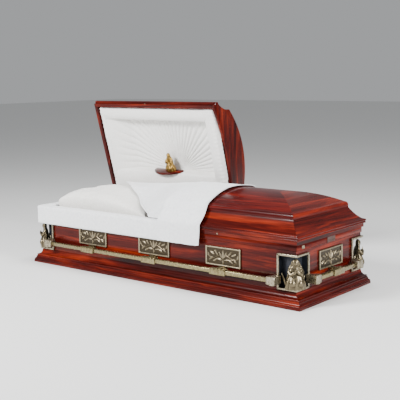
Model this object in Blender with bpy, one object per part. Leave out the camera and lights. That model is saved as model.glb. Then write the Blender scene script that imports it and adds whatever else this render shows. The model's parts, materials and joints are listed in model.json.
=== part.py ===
"""Half-couch wooden funeral casket with cast fittings, head lid open and foot lid closed.

Metres, +Z up. The casket stands on z = 0 with its underside centred on the origin.
+X runs to the foot end, -Y is the front, and the lids are hinged along the back.
"""
import math

import bmesh
import bpy
from mathutils import Matrix, Vector

# Overall sizes
LENGTH = 2.144
WIDTH = 0.786
GAP = 0.0003

# Body
BASE_HEIGHT = 0.092
PANEL_INSET = 0.042
END_INSET = 0.050
BOARD = 0.020
FLOOR_THICKNESS = 0.020
SPLIT_Z = 0.345
RIM_HEIGHT = 0.034
RIM_PROUD = 0.005
RIM_DEPTH = 0.034
PLINTH_HEIGHT = 0.014

# Lids
LID_PROUD = 0.024
LID_BAND = 0.022
LID_BAND_IN = 0.011
LID_BEAD = 0.028
LID_MEMBER = 0.034
CROWN_INSET = 0.078
CROWN_LIP_Z = 0.478
CROWN_EDGE_RISE = 0.022
CROWN_EDGE_RUN = 0.014
CROWN_ARCH_RISE = 0.074
CROWN_SHELL = 0.014
SEAT_DROP = 0.008
SPLIT_X = 0.058
LID_GAP = 0.003
BULKHEAD = 0.018
BULKHEAD_ARCH = 0.050
LID_OPEN_DEG = 75.0

# Hinges
HINGE_STANDOFF = 0.006
HINGE_BARREL_R = 0.005
HINGE_LEAF = 0.0022
HINGE_LENGTH = 0.66
HINGE_END_MARGIN = 0.18

# Corner castings
CASTING_HEIGHT = 0.200
CASTING_LEG = 0.118
CASTING_PLATE = 0.005
CASTING_BORDER = 0.012
CASTING_BORDER_PROUD = 0.007
CASTING_RECESS = 0.030
CASTING_WALL = 0.004
FIGURE_HEIGHT = 0.168
FIGURE_WIDTH = 0.118
FIGURE_OUT = -0.018
FIGURE_FLAT = 0.78

# Bars, sockets, plaques and arms
BAR_SIDE = 0.024
BAR_BEVEL = 0.002
BAR_Z = 0.147
BAR_STANDOFF = 0.047
SOCKET_INNER = 0.152
SOCKET_OUTER = 0.094
SOCKET_SIDE = 0.044
SOCKET_FLARE = 0.050
PLAQUE_WIDTH = 0.250
PLAQUE_HEIGHT = 0.112
PLAQUE_BOTTOM = 0.168
PLAQUE_PLATE = 0.006
PLAQUE_FRAME = 0.011
PLAQUE_FRAME_PROUD = 0.005
PLAQUE_RELIEF = 0.004
LEAF_SIDES = 6
PLAQUE_PITCH = 0.530
PLAQUE_SHIFT = 0.004
ARM_WIDTH = 0.044
ARM_THICKNESS = 0.008
CLIP_LENGTH = 0.110
CLIP_WALL = 0.005
CLIP_CLEARANCE = 0.0004

# Lid furniture
SHELF_X = -0.488
SHELF_U = 0.240
SHELF_WIDTH = 0.250
SHELF_DEPTH = 0.085
SHELF_THICKNESS = 0.014
STATUETTE_HEIGHT = 0.130
STATUETTE_WIDTH = 0.082

# Soft parts
MATTRESS_TOP = 0.205
MATTRESS_CLEARANCE = 0.017
LINING_BORDER = 0.120
LINING_MOUTH = 0.006
LINING_RECESS = 0.060
LINING_SLOPE = 0.030
LINING_THICKNESS = 0.022
LINING_CLEARANCE = 0.003
EXTENDOVER_TOP = 0.388
EXTENDOVER_BOTTOM = 0.270
EXTENDOVER_THICKNESS = 0.014
EXTENDOVER_INWARD = 0.052
SOFT_CLEARANCE = 0.002
PILLOW_LENGTH = 0.527
PILLOW_WIDTH = 0.600
PILLOW_HEIGHT = 0.190
PILLOW_TOP = 0.492
PILLOW_END_INSET = 0.3635
PILLOW_X = PILLOW_END_INSET - LENGTH / 2
PILLOW_Y = 0.000
PILLOW_SLANT = 1.45
PILLOW_SINK = 0.092
COVERLET_FRONT_LEFT = -0.043
COVERLET_BACK_LEFT = -0.758
COVERLET_THICKNESS = 0.010
COVERLET_BACK = 0.200
COVERLET_INSET = 0.006
COVERLET_RISE = 0.112
OVERLAY_RIGHT = 0.384
OVERLAY_THICKNESS = 0.006
OVERLAY_STANDOFF = 0.003
OVERLAY_FLAP = 0.266
OVERLAY_BACK = 0.200

# Worked-out places
PANEL_X = LENGTH / 2 - END_INSET
PANEL_Y = WIDTH / 2 - PANEL_INSET
RIM_Y = PANEL_Y + RIM_PROUD
RIM_Z = SPLIT_Z - RIM_HEIGHT
LID_X = PANEL_X + LID_PROUD
LID_Y = PANEL_Y + LID_PROUD
LID_Z = SPLIT_Z + GAP
CROWN_Y = LID_Y - CROWN_INSET
CROWN_SEAT_Z = CROWN_LIP_Z - SEAT_DROP
HINGE = Vector((0.0, LID_Y - LID_BAND_IN + HINGE_STANDOFF, SPLIT_Z))
HEAD_END = SPLIT_X - LID_GAP / 2
FOOT_START = SPLIT_X + LID_GAP / 2
INNER_X = PANEL_X - BOARD
INNER_Y = PANEL_Y - BOARD

COLOURS = {
    "wood": ((0.20, 0.035, 0.018), 0.25, 0.0),
    "antique_metal": ((0.48, 0.42, 0.30), 0.38, 1.0),
    "gilt": ((0.60, 0.42, 0.16), 0.35, 1.0),
    "lining": ((0.80, 0.79, 0.76), 0.90, 0.0),
}


def make_material(slot):
    """One Principled material for a finish slot, made once."""
    if slot in bpy.data.materials:
        return bpy.data.materials[slot]
    colour, roughness, metallic = COLOURS[slot]
    material = bpy.data.materials.new(slot)
    material.use_nodes = True
    shader = material.node_tree.nodes["Principled BSDF"]
    shader.inputs["Base Color"].default_value = (*colour, 1.0)
    shader.inputs["Roughness"].default_value = roughness
    shader.inputs["Metallic"].default_value = metallic
    return material


def add_piece(name, verts, faces, slot, parent=None, smooth=None):
    """A named object from points and faces, hung on its hinge empty if it has one."""
    mesh = bpy.data.meshes.new(name)
    mesh.from_pydata([tuple(v) for v in verts], [], faces)
    bm = bmesh.new()
    bm.from_mesh(mesh)
    bmesh.ops.remove_doubles(bm, verts=bm.verts, dist=1e-6)
    bmesh.ops.recalc_face_normals(bm, faces=bm.faces)
    bm.to_mesh(mesh)
    bm.free()
    if smooth is not None:
        mesh.shade_smooth()
        mesh.set_sharp_from_angle(angle=math.radians(smooth))
    obj = bpy.data.objects.new(name, mesh)
    mesh.materials.append(make_material(slot))
    bpy.context.scene.collection.objects.link(obj)
    if parent is not None:
        mesh.transform(Matrix.Translation(-HINGE))
        obj.parent = parent
    return obj


def add_hinge_empty(name, open_deg):
    """An empty on the hinge line, turned by how far its lid stands open."""
    empty = bpy.data.objects.new(name, None)
    empty.location = HINGE
    empty.rotation_euler = (-math.radians(open_deg), 0.0, 0.0)
    bpy.context.scene.collection.objects.link(empty)
    return empty


def loft(rings, close_ends=True):
    """Points and faces of rings joined one to the next, with flat ends."""
    count = len(rings[0])
    verts = [point for ring in rings for point in ring]
    faces = []
    for level in range(len(rings) - 1):
        for i in range(count):
            j = (i + 1) % count
            low, high = level * count, (level + 1) * count
            faces.append((low + i, low + j, high + j, high + i))
    if close_ends:
        faces.append(tuple(range(count)))
        faces.append(tuple(range((len(rings) - 1) * count, len(rings) * count)))
    return verts, faces


def box(low, high):
    """Points and faces of a plain box."""
    rings = [[(low[0], low[1], z), (high[0], low[1], z), (high[0], high[1], z), (low[0], high[1], z)]
             for z in (low[2], high[2])]
    return loft(rings)


def arc(centre, radii, first_deg, last_deg, steps):
    """Points along an elliptical arc, in the profile's own plane."""
    points = []
    for i in range(steps + 1):
        angle = math.radians(first_deg + (last_deg - first_deg) * i / steps)
        points.append((centre[0] + radii[0] * math.cos(angle), centre[1] + radii[1] * math.sin(angle)))
    return points


def run(profile, start, end, outward, mitre_start=True, mitre_end=True):
    """A profile of (out, z) points swept along one side, with mitred or square ends."""
    start, end, outward = Vector(start), Vector(end), Vector(outward)
    along = (end - start).normalized()
    rings = []
    for corner, mitred, sign in ((start, mitre_start, -1), (end, mitre_end, 1)):
        ring = []
        for out, z in profile:
            point = corner + outward * out - along * sign * GAP
            if mitred:
                point += along * sign * out
            ring.append((point.x, point.y, z))
        rings.append(ring)
    return loft(rings)


def unite(target, others):
    """Join pieces that overlap into one closed body."""
    for i, other in enumerate(others):
        modifier = target.modifiers.new(f"union_{i}", "BOOLEAN")
        modifier.operation = "UNION"
        modifier.object = other
        other.hide_render = True
        other.display_type = "WIRE"


def baked_mesh(obj, helpers):
    """The evaluated mesh of a piece; the piece and its helpers leave the scene."""
    bpy.context.view_layer.update()
    mesh = bpy.data.meshes.new_from_object(obj.evaluated_get(bpy.context.evaluated_depsgraph_get()))
    for piece in (obj, *helpers):
        bpy.data.objects.remove(piece, do_unlink=True)
    return mesh


def place_copy(name, mesh, matrix):
    """A copy of a baked mesh, moved, turned or mirrored to its place."""
    copy = mesh.copy()
    copy.name = name
    copy.transform(matrix)
    if matrix.determinant() < 0:
        copy.flip_normals()
    obj = bpy.data.objects.new(name, copy)
    bpy.context.scene.collection.objects.link(obj)
    return obj


# Profiles

def base_profile(out):
    """Base moulding: plinth, bead, ogee, bead and cove, out from the panel's face."""
    top = BASE_HEIGHT
    points = [(GAP, 0.0), (out, 0.0), (out, PLINTH_HEIGHT)]
    points += arc((out - 0.005, PLINTH_HEIGHT + 0.005), (0.0035, 0.004), -60, 80, 3)
    points += arc((out - 0.003, PLINTH_HEIGHT + 0.027), (0.0095, 0.016), -95, -175, 4)
    points += arc((out - 0.019, PLINTH_HEIGHT + 0.036), (0.0035, 0.0045), -70, 80, 3)
    points += arc((out - 0.019, top - 0.004), (out - 0.0225, 0.034), -95, -175, 4)
    points += [(GAP, top)]
    return points


def base_rings(start, end, outward):
    """The base moulding along one side, mitred to the sides whose overhang differs."""
    start, end, outward = Vector(start), Vector(end), Vector(outward)
    along = (end - start).normalized()
    own, other = (PANEL_INSET, END_INSET) if outward.x == 0 else (END_INSET, PANEL_INSET)
    rings = []
    for corner, sign in ((start, -1), (end, 1)):
        ring = []
        for (out, z), (past, _) in zip(base_profile(own), base_profile(other)):
            point = corner + outward * out + along * sign * (past - GAP)
            ring.append((point.x, point.y, z))
        rings.append(ring)
    return rings


def rim_profile():
    """Body top rail: a flat band with an eased lower edge, capping the boards."""
    return [(RIM_PROUD, RIM_Z + 0.003), (RIM_PROUD, SPLIT_Z), (RIM_PROUD - RIM_DEPTH, SPLIT_Z),
            (RIM_PROUD - RIM_DEPTH, RIM_Z), (RIM_PROUD - 0.003, RIM_Z)]


def lid_face():
    """Outer face of the lid frame: set-in band, two reeds and a shallow cove up to the crown's seat."""
    band_top = LID_Z + LID_BAND
    small, large = LID_BEAD * 0.19, LID_BEAD * 0.27
    points = [(-LID_BAND_IN, LID_Z), (-LID_BAND_IN, band_top - 0.002)]
    points += arc((-small - 0.001, band_top + small), (small, small), -80, 60, 3)
    points += arc((-large, band_top + LID_BEAD - large - 0.002), (large, large), -50, 90, 3)
    points += [(-0.015, band_top + LID_BEAD)]
    seat = CROWN_SEAT_Z - 0.004
    low = band_top + LID_BEAD + 0.001
    run_in, rise = CROWN_INSET - 0.018, seat - low
    for i in range(7):
        t = i / 6
        points.append((-0.018 - run_in * t, low + rise * (t - 0.42 * t * (1 - t))))
    return points


def lid_profile():
    """Lid frame moulding: its outer face, the crown's seat and a plain inner face."""
    back = CROWN_INSET + 0.026
    return lid_face() + [(-CROWN_INSET - 0.001, CROWN_SEAT_Z), (-back, CROWN_SEAT_Z), (-back, CROWN_SEAT_Z - 0.030),
                         (-LID_MEMBER, LID_Z + 0.036), (-LID_MEMBER, LID_Z)]


def crown_outline():
    """Outer crown: in-from-edge and height, from the lip up the rounded edge and arch."""
    points = [(0.0, CROWN_SEAT_Z + GAP), (0.0, CROWN_LIP_Z)]
    points += [(CROWN_EDGE_RUN * (1 - math.cos(a)), CROWN_LIP_Z + CROWN_EDGE_RISE * math.sin(a))
               for a in (math.radians(30), math.radians(60))]
    span = CROWN_Y - CROWN_EDGE_RUN
    edge_top = CROWN_LIP_Z + CROWN_EDGE_RISE
    for i in range(8):
        t = i / 7
        points.append((CROWN_EDGE_RUN + span * t, edge_top + CROWN_ARCH_RISE * (1 - (1 - t) ** 2)))
    return points


def crown_soffit():
    """Inner crown: the same arch a shell's thickness in, from the ridge down."""
    points = []
    span = CROWN_Y - CROWN_EDGE_RUN - CROWN_SHELL
    edge_top = CROWN_LIP_Z + CROWN_EDGE_RISE - CROWN_SHELL * 0.8
    for i in range(6, -1, -1):
        t = i / 6
        rise = (CROWN_ARCH_RISE - CROWN_SHELL * 0.2) * (1 - (1 - t) ** 2)
        points.append((CROWN_EDGE_RUN + CROWN_SHELL + span * t, edge_top + rise))
    points += [(CROWN_SHELL + 0.004, CROWN_LIP_Z), (CROWN_SHELL, CROWN_SEAT_Z + GAP)]
    return points


def lid_section():
    """Half section of the closed lid as (y, z), from the rim's foot up to the ridge."""
    frame = [(LID_Y + out, z) for out, z in lid_face()]
    return frame + [(CROWN_Y - inward, z) for inward, z in crown_outline()]


# Body

def build_body():
    """Floor, base moulding, boards and top rails."""
    add_piece("floor_board", *box((-INNER_X, -INNER_Y, 0.0), (INNER_X, INNER_Y, FLOOR_THICKNESS)), "wood")
    sides = {
        "front": ((-1, -1), (1, -1), (0, -1)),
        "foot": ((1, -1), (1, 1), (1, 0)),
        "back": ((1, 1), (-1, 1), (0, 1)),
        "head": ((-1, 1), (-1, -1), (-1, 0)),
    }
    board = [(0.0, GAP), (0.0, RIM_Z - GAP), (-BOARD + GAP, RIM_Z - GAP), (-BOARD + GAP, GAP)]
    boards = []
    for side, (first, last, outward) in sides.items():
        start = (first[0] * PANEL_X, first[1] * PANEL_Y)
        end = (last[0] * PANEL_X, last[1] * PANEL_Y)
        add_piece(f"base_moulding_{side}", *loft(base_rings(start, end, outward)), "wood", smooth=35)
        boards.append(add_piece(f"body_board_{side}", *run(board, start, end, outward), "wood"))
        add_piece(f"body_rail_{side}", *run(rim_profile(), start, end, outward), "wood")
    for sign_x in (-1, 1):
        for sign_y in (-1, 1):
            cut_corner(boards, sign_x, sign_y)


def cut_corner(boards, sign_x, sign_y):
    """Cuts the recess of one corner casting out of the boards that meet there."""
    back, reach = CASTING_RECESS + CASTING_PLATE + GAP, CASTING_LEG - CASTING_BORDER + CASTING_WALL + GAP
    low, high = recess_heights()
    verts, faces = corner_band(-back, CASTING_LEG, reach, low - CASTING_WALL - GAP, high + CASTING_WALL + GAP)
    verts = [(sign_x * (PANEL_X + x), sign_y * (PANEL_Y + y), z) for x, y, z in verts]
    cutter = add_piece(f"recess_{sign_x}_{sign_y}", verts, faces, "wood")
    cutter.hide_render = True
    cutter.display_type = "WIRE"
    for board in boards:
        side = board.name.rsplit("_", 1)[1]
        if side in (("head", "foot")[sign_x > 0], ("front", "back")[sign_y > 0]):
            cut = board.modifiers.new(cutter.name, "BOOLEAN")
            cut.operation = "DIFFERENCE"
            cut.object = cutter


# Lids

def lid_sides(foot):
    """The three framed sides of one lid: name, start, end, outward and which ends are mitred."""
    sign = 1 if foot else -1
    cut = FOOT_START if foot else HEAD_END
    end_x = sign * LID_X
    return (
        ("front", (cut, -LID_Y), (end_x, -LID_Y), (0, -1), False, True),
        ("end", (end_x, -LID_Y), (end_x, LID_Y), (sign, 0), True, True),
        ("back", (end_x, LID_Y), (cut, LID_Y), (0, 1), True, False),
    )


def crown_rings(cut, end_x, outline):
    """U-shaped contours of the hipped crown, each in from three edges by its first value."""
    sign = 1 if end_x > cut else -1
    rings = []
    for inward, z in outline:
        y = max(CROWN_Y - inward, 0.0)
        x = end_x - sign * inward
        rings.append([(cut, -y, z), (x, -y, z), (x, y, z), (cut, y, z)])
    return rings


def build_crown(name, cut, end_x, parent):
    """The hollow hipped crown, open below, with a flat arched edge at its cut end."""
    rings = crown_rings(cut, end_x, crown_outline() + crown_soffit())
    verts, faces = [p for ring in rings for p in ring], []
    count, outer = len(rings), len(crown_outline())
    for level in range(count):
        if level == outer - 1:
            continue
        low, high = level * 4, ((level + 1) % count) * 4
        for i in range(3):
            faces.append((low + i, low + i + 1, high + i + 1, high + i))
    over = [level * 4 for level in range(outer)] + [level * 4 + 3 for level in range(outer - 2, -1, -1)]
    under = [level * 4 + 3 for level in range(count - 1, outer - 1, -1)]
    under += [level * 4 for level in range(outer + 1, count)]
    faces.append(tuple(over + under))
    return add_piece(name, verts, faces, "wood", parent, smooth=25)


def build_bulkhead(name, low_x, high_x, parent):
    """The board that closes a lid's cut end, with a shallow arch below."""
    half = lid_section()
    inner = LID_Y - LID_MEMBER
    arch = []
    for i in range(9):
        t = -1 + 2 * i / 8
        arch.append((inner * t, LID_Z + BULKHEAD_ARCH * (1 - t * t)))
    outline = [(y, z) for y, z in half] + [(-y, z) for y, z in reversed(half[:-1])] + arch
    rings = [[(x, y, z) for y, z in outline] for x in (low_x, high_x)]
    return add_piece(name, *loft(rings), "wood", parent, smooth=25)


def build_lid(prefix, foot, parent):
    """Frame mouldings, crown and bulkhead of one lid."""
    cut = FOOT_START if foot else HEAD_END
    sign = 1 if foot else -1
    board_end = cut + sign * BULKHEAD
    shell_start = board_end + sign * GAP
    for side, start, end, outward, mitre_a, mitre_b in lid_sides(foot):
        start = (shell_start if start[0] == cut else start[0], start[1])
        end = (shell_start if end[0] == cut else end[0], end[1])
        verts, faces = run(lid_profile(), start, end, outward, mitre_a, mitre_b)
        add_piece(f"{prefix}_lid_frame_{side}", verts, faces, "wood", parent, smooth=35)
    build_crown(f"{prefix}_lid_crown", shell_start, sign * (LID_X - CROWN_INSET), parent)
    build_bulkhead(f"{prefix}_lid_bulkhead", min(cut, board_end), max(cut, board_end), parent)


def hinge_leaf(name, low_x, high_x, knuckles, lid_parent):
    """One hinge leaf with its barrel knuckles, along the back of a lid or of the body rail."""
    on_lid = lid_parent is not None
    axis_y, axis_z = HINGE.y, HINGE.z
    slack = HINGE_BARREL_R + GAP * 2
    if on_lid:
        face = LID_Y - LID_BAND_IN + GAP
        plate_z = (axis_z + slack, LID_Z + LID_BAND - 0.004)
    else:
        face = RIM_Y + GAP
        plate_z = (RIM_Z + 0.006, axis_z - slack)
    plate = box((low_x, face, plate_z[0]), (high_x, face + HINGE_LEAF, plate_z[1]))
    leaf = add_piece(name, *plate, "antique_metal", lid_parent)
    joined = []
    for i, (first, last) in enumerate(knuckles):
        ring = arc((axis_y, axis_z), (HINGE_BARREL_R, HINGE_BARREL_R), 0, 330, 11)
        rings = [[(x, y, z) for y, z in ring] for x in (first, last)]
        joined.append(add_piece(f"{name}_barrel_{i}", *loft(rings), "antique_metal", lid_parent))
        edge = plate_z[0] + 0.002 if on_lid else plate_z[1] - 0.002
        low_z, high_z = min(edge, axis_z), max(edge, axis_z)
        if on_lid:
            web = box((first, face, low_z), (last, face + HINGE_LEAF, high_z))
        else:
            web = box((first, face, axis_z - slack - 0.006), (last, axis_y, axis_z - slack + 0.003))
        joined.append(add_piece(f"{name}_web_{i}", *web, "antique_metal", lid_parent))
    unite(leaf, joined)


def build_hinges(prefix, foot, parent):
    """A long butt hinge behind one lid: outer knuckles on the body, the middle one on the lid."""
    start = FOOT_START + HINGE_END_MARGIN if foot else HEAD_END - HINGE_END_MARGIN - HINGE_LENGTH
    third = HINGE_LENGTH / 3
    end = start + HINGE_LENGTH
    body = [(start, start + third - GAP), (end - third + GAP, end)]
    hinge_leaf(f"{prefix}_hinge_body_leaf", start, end, body, None)
    hinge_leaf(f"{prefix}_hinge_lid_leaf", start, end, [(start + third + GAP, end - third - GAP)], parent)


# Cast figures

def robe_rings(centre, facing, height, width, shares, flat):
    """Rings of a robed kneeling figure. Shares are height, half width, half depth and lean."""
    across = Vector((-facing.y, facing.x, 0.0))
    rings = []
    for share, half, depth, lean in shares:
        ring = []
        for i in range(14):
            angle = 2 * math.pi * i / 14
            fold = 1 + 0.07 * math.cos(7 * angle) * (1 - share)
            point = centre + facing * (height * lean + width * flat * depth * math.cos(angle) * fold)
            point += across * (width * half * math.sin(angle) * fold)
            ring.append((point.x, point.y, centre.z + height * share))
        rings.append(ring)
    return rings


ROBE_SHARES = (
    (0.00, 0.46, 0.34, 0.00), (0.10, 0.46, 0.36, 0.01), (0.26, 0.42, 0.34, 0.03), (0.40, 0.33, 0.27, 0.02),
    (0.55, 0.30, 0.21, -0.02), (0.68, 0.29, 0.18, -0.02), (0.75, 0.20, 0.15, 0.00), (0.81, 0.16, 0.155, 0.02),
    (0.89, 0.165, 0.165, 0.03), (0.96, 0.12, 0.125, 0.02), (1.00, 0.05, 0.05, 0.01),
)


def limb(first, last, first_r, last_r, sides=6):
    """A tapered limb between two points."""
    first, last = Vector(first), Vector(last)
    axis = (last - first).normalized()
    side = axis.cross(Vector((0, 0, 1))).normalized()
    up = side.cross(axis)
    rings = []
    for centre, radius in ((first, first_r), ((first + last) / 2, (first_r + last_r) / 2 * 1.15), (last, last_r)):
        rings.append([tuple(centre + (side * math.cos(2 * math.pi * i / sides)
                                      + up * math.sin(2 * math.pi * i / sides)) * radius) for i in range(sides)])
    return loft(rings)


def mourner(name, centre, facing, height, width, slot, flat=1.0):
    """A generic hooded kneeling figure with joined hands: robe, then two sleeves to unite with it."""
    facing = facing.normalized()
    across = Vector((-facing.y, facing.x, 0.0))
    rings = robe_rings(centre, facing, height, width, ROBE_SHARES, flat)
    robe = add_piece(name, *loft(rings), slot, smooth=50)
    hands = centre + facing * (width * 0.30 * flat) + Vector((0, 0, height * 0.62))
    sleeves = []
    for i, side in enumerate((-1, 1)):
        shoulder = centre + across * side * width * 0.17 + Vector((0, 0, height * 0.66))
        reach = hands + across * side * width * 0.018
        piece = limb(shoulder, reach, width * 0.075, width * 0.045)
        sleeves.append(add_piece(f"{name}_sleeve_{i}", *piece, slot))
    return robe, sleeves


def corner_band(back, out, reach, bottom, top):
    """An L-shaped prism that wraps the body's corner, from back to out off its faces."""
    plan = [(out, out), (-reach, out), (-reach, back), (back, back), (back, -reach), (out, -reach)]
    return loft([[(x, y, z) for x, y in plan] for z in (bottom, top)])


def recess_heights():
    """Lower and upper edge of the opening in a corner casting."""
    return BASE_HEIGHT + GAP + CASTING_BORDER, BASE_HEIGHT + GAP + CASTING_HEIGHT - CASTING_BORDER


def corner_frame():
    """Recess walls, top and bottom borders and upright borders of a corner casting."""
    low, high = BASE_HEIGHT + GAP, BASE_HEIGHT + GAP + CASTING_HEIGHT
    proud = CASTING_PLATE + CASTING_BORDER_PROUD
    border, wall, step = CASTING_BORDER, CASTING_WALL, 0.0004
    sill, lintel = recess_heights()
    deep = CASTING_RECESS + CASTING_PLATE
    reach = CASTING_LEG - border + wall
    pieces = [corner_band(-deep, -CASTING_RECESS, reach, sill - wall, lintel + wall),
              corner_band(-deep + step, CASTING_PLATE, reach - step, sill - wall + step, sill - step * 0.5),
              corner_band(-deep + step, CASTING_PLATE, reach - step, lintel + step * 0.5, lintel + wall - step),
              corner_band(GAP * 1.3, proud, CASTING_LEG, lintel, high),
              corner_band(GAP * 1.3, proud, CASTING_LEG, low, sill)]
    middle = (low + border / 2, high - border / 2)
    near, far = -(CASTING_LEG - border), -(CASTING_LEG - step)
    back, out = GAP * 1.6, proud - step
    pieces.append(box((far, back, middle[0]), (near, out, middle[1])))
    pieces.append(box((back, far, middle[0]), (out, near, middle[1])))
    side, inner = -(reach - step * 2), -deep + step * 2
    ends = (sill - wall + step * 2, lintel + wall - step * 2)
    pieces.append(box((side, inner, ends[0]), (near - step * 0.5, CASTING_PLATE - step, ends[1])))
    pieces.append(box((inner, side, ends[0]), (CASTING_PLATE - step, near - step * 0.5, ends[1])))
    return pieces


def socket(on_long):
    """A flared square socket block that holds one bar's end against the corner casting."""
    rings = []
    for back, side in ((SOCKET_INNER, SOCKET_SIDE), (SOCKET_INNER - 0.020, SOCKET_SIDE),
                       (SOCKET_OUTER + 0.010, SOCKET_FLARE), (SOCKET_OUTER, SOCKET_FLARE)):
        outer = BAR_STANDOFF + side / 2
        inner = CASTING_PLATE * 0.5 if back < CASTING_LEG else BAR_STANDOFF - side / 2
        ring = []
        for out, z in ((inner, BAR_Z - side / 2), (outer, BAR_Z - side / 2),
                       (outer, BAR_Z + side / 2), (inner, BAR_Z + side / 2)):
            ring.append((-back, out, z) if on_long else (out, -back, z))
        rings.append(ring)
    return loft(rings)


def casting_mesh():
    """The corner casting, drawn round a body corner at the origin that faces +X and +Y."""
    first, *rest = corner_frame()
    casting = add_piece("casting", *first, "antique_metal")
    pieces = [add_piece(f"casting_frame_{i}", *piece, "antique_metal") for i, piece in enumerate(rest)]
    facing = Vector((1.0, 1.0, 0.0)).normalized()
    foot = facing * FIGURE_OUT + Vector((0.0, 0.0, recess_heights()[0] - 0.002))
    robe, sleeves = mourner("casting_figure", foot, facing, FIGURE_HEIGHT, FIGURE_WIDTH, "antique_metal", FIGURE_FLAT)
    unite(robe, sleeves)
    behind = -CASTING_RECESS - CASTING_PLATE / 2
    seat = add_piece("casting_seat", *box((-0.3, -0.3, 0.0), (behind, behind, SPLIT_Z)), "wood")
    cut = robe.modifiers.new("seat", "BOOLEAN")
    cut.operation = "DIFFERENCE"
    cut.object = seat
    pieces.append(robe)
    for on_long in (True, False):
        pieces.append(add_piece(f"casting_socket_{int(on_long)}", *socket(on_long), "antique_metal"))
    unite(casting, pieces)
    return baked_mesh(casting, [*pieces, *sleeves, seat])


# Plaques, arms and bars

def face_matrix(face, along):
    """Places a fitting drawn with X along the face, Y out of it, on one side of the casket."""
    turns = {"front": 0.0, "foot": 90.0, "back": 180.0, "head": 270.0}
    out = {"front": (along, -PANEL_Y), "foot": (PANEL_X, along),
           "back": (-along, PANEL_Y), "head": (-PANEL_X, -along)}
    place = Matrix.Translation((out[face][0], out[face][1], 0.0))
    return place @ Matrix.Rotation(math.radians(turns[face]), 4, "Z")


def leaf(centre, angle_deg, length, width, base, top):
    """A raised leaf: a pointed oval with a ridge."""
    turn = math.radians(angle_deg)
    rings = []
    for depth, share in ((base, 1.0), (top, 0.4)):
        ring = []
        for i in range(LEAF_SIDES):
            angle = 2 * math.pi * i / LEAF_SIDES
            x = length / 2 * share * math.cos(angle)
            z = width / 2 * share * math.sin(angle) * (1 - 0.25 * math.cos(angle) ** 2)
            ring.append((centre[0] + x * math.cos(turn) - z * math.sin(turn), -depth,
                         centre[1] + x * math.sin(turn) + z * math.cos(turn)))
        rings.append(ring)
    return loft(rings)


def plaque_mesh():
    """A bordered plaque with a raised spray of leaves."""
    half, low, high = PLAQUE_WIDTH / 2, PLAQUE_BOTTOM, PLAQUE_BOTTOM + PLAQUE_HEIGHT
    field = PLAQUE_PLATE - 0.002
    edge = PLAQUE_PLATE + PLAQUE_FRAME_PROUD
    inner = PLAQUE_FRAME
    steps = ((0.0, GAP), (0.0, edge - 0.002), (0.002, edge), (inner - 0.003, edge), (inner, field))
    rings = [[(-half + i, -out, low + i), (half - i, -out, low + i), (half - i, -out, high - i),
              (-half + i, -out, high - i)] for i, out in steps]
    plaque = add_piece("plaque", *loft(rings), "antique_metal")
    middle = (low + high) / 2
    top = field + PLAQUE_RELIEF
    sprays = [leaf((0.0, middle), 90, 0.074, 0.030, field - 0.002, top)]
    for side in (-1, 1):
        for place, lift, angle in ((0.028, 0.012, 38), (0.052, -0.014, -20), (0.078, 0.014, 28), (0.100, -0.010, -35)):
            sprays.append(leaf((side * place, middle + lift), side * angle, 0.042, 0.019, field - 0.002, top))
    pieces = [add_piece(f"plaque_leaf_{i}", *spray, "antique_metal") for i, spray in enumerate(sprays)]
    unite(plaque, pieces)
    return baked_mesh(plaque, pieces)


def arm_mesh():
    """The arm that hangs from a plaque's foot and the sleeve clip round the bar."""
    hole = BAR_SIDE / 2 + CLIP_CLEARANCE
    outer = hole + CLIP_WALL
    half = CLIP_LENGTH / 2

    def square(side, x):
        """Corners of a square round the bar at one place along it."""
        return [(x, -BAR_STANDOFF + a * side, BAR_Z + b * side) for a, b in ((-1, -1), (1, -1), (1, 1), (-1, 1))]

    rings = [square(outer, -half), square(outer, half), square(hole, half), square(hole, -half)]
    verts, faces = loft(rings, close_ends=False)
    faces += [(12 + i, 12 + (i + 1) % 4, (i + 1) % 4, i) for i in range(4)]
    clip = add_piece("clip", verts, faces, "antique_metal")
    top = PLAQUE_BOTTOM - GAP
    back = PLAQUE_PLATE + PLAQUE_FRAME_PROUD
    lower = BAR_Z + outer - CLIP_WALL * 0.5
    outline = [(-GAP, top), (-back, top), (-BAR_STANDOFF - 0.002, lower + ARM_THICKNESS * 0.4),
               (-BAR_STANDOFF + 0.004, lower), (-BAR_STANDOFF + outer - 0.001, lower - CLIP_WALL * 0.4),
               (-GAP, top - ARM_THICKNESS * 1.6)]
    rings = [[(x, y, z) for y, z in outline] for x in (-ARM_WIDTH / 2, ARM_WIDTH / 2)]
    strap = add_piece("strap", *loft(rings), "antique_metal")
    unite(clip, [strap])
    return baked_mesh(clip, [strap])


def build_bar(name, face):
    """A square bar with eased edges between the sockets of one side."""
    half_side = PANEL_X if face in ("front", "back") else PANEL_Y
    half = half_side - SOCKET_INNER - GAP
    side, ease = BAR_SIDE / 2, BAR_BEVEL
    ring = [(-side, -side + ease), (-side + ease, -side), (side - ease, -side), (side, -side + ease),
            (side, side - ease), (side - ease, side), (-side + ease, side), (-side, side - ease)]
    rings = [[(x, -BAR_STANDOFF + a, BAR_Z + b) for a, b in ring] for x in (-half, half)]
    bar = add_piece(name, *loft(rings), "antique_metal")
    bar.data.transform(face_matrix(face, 0.0))


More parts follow.
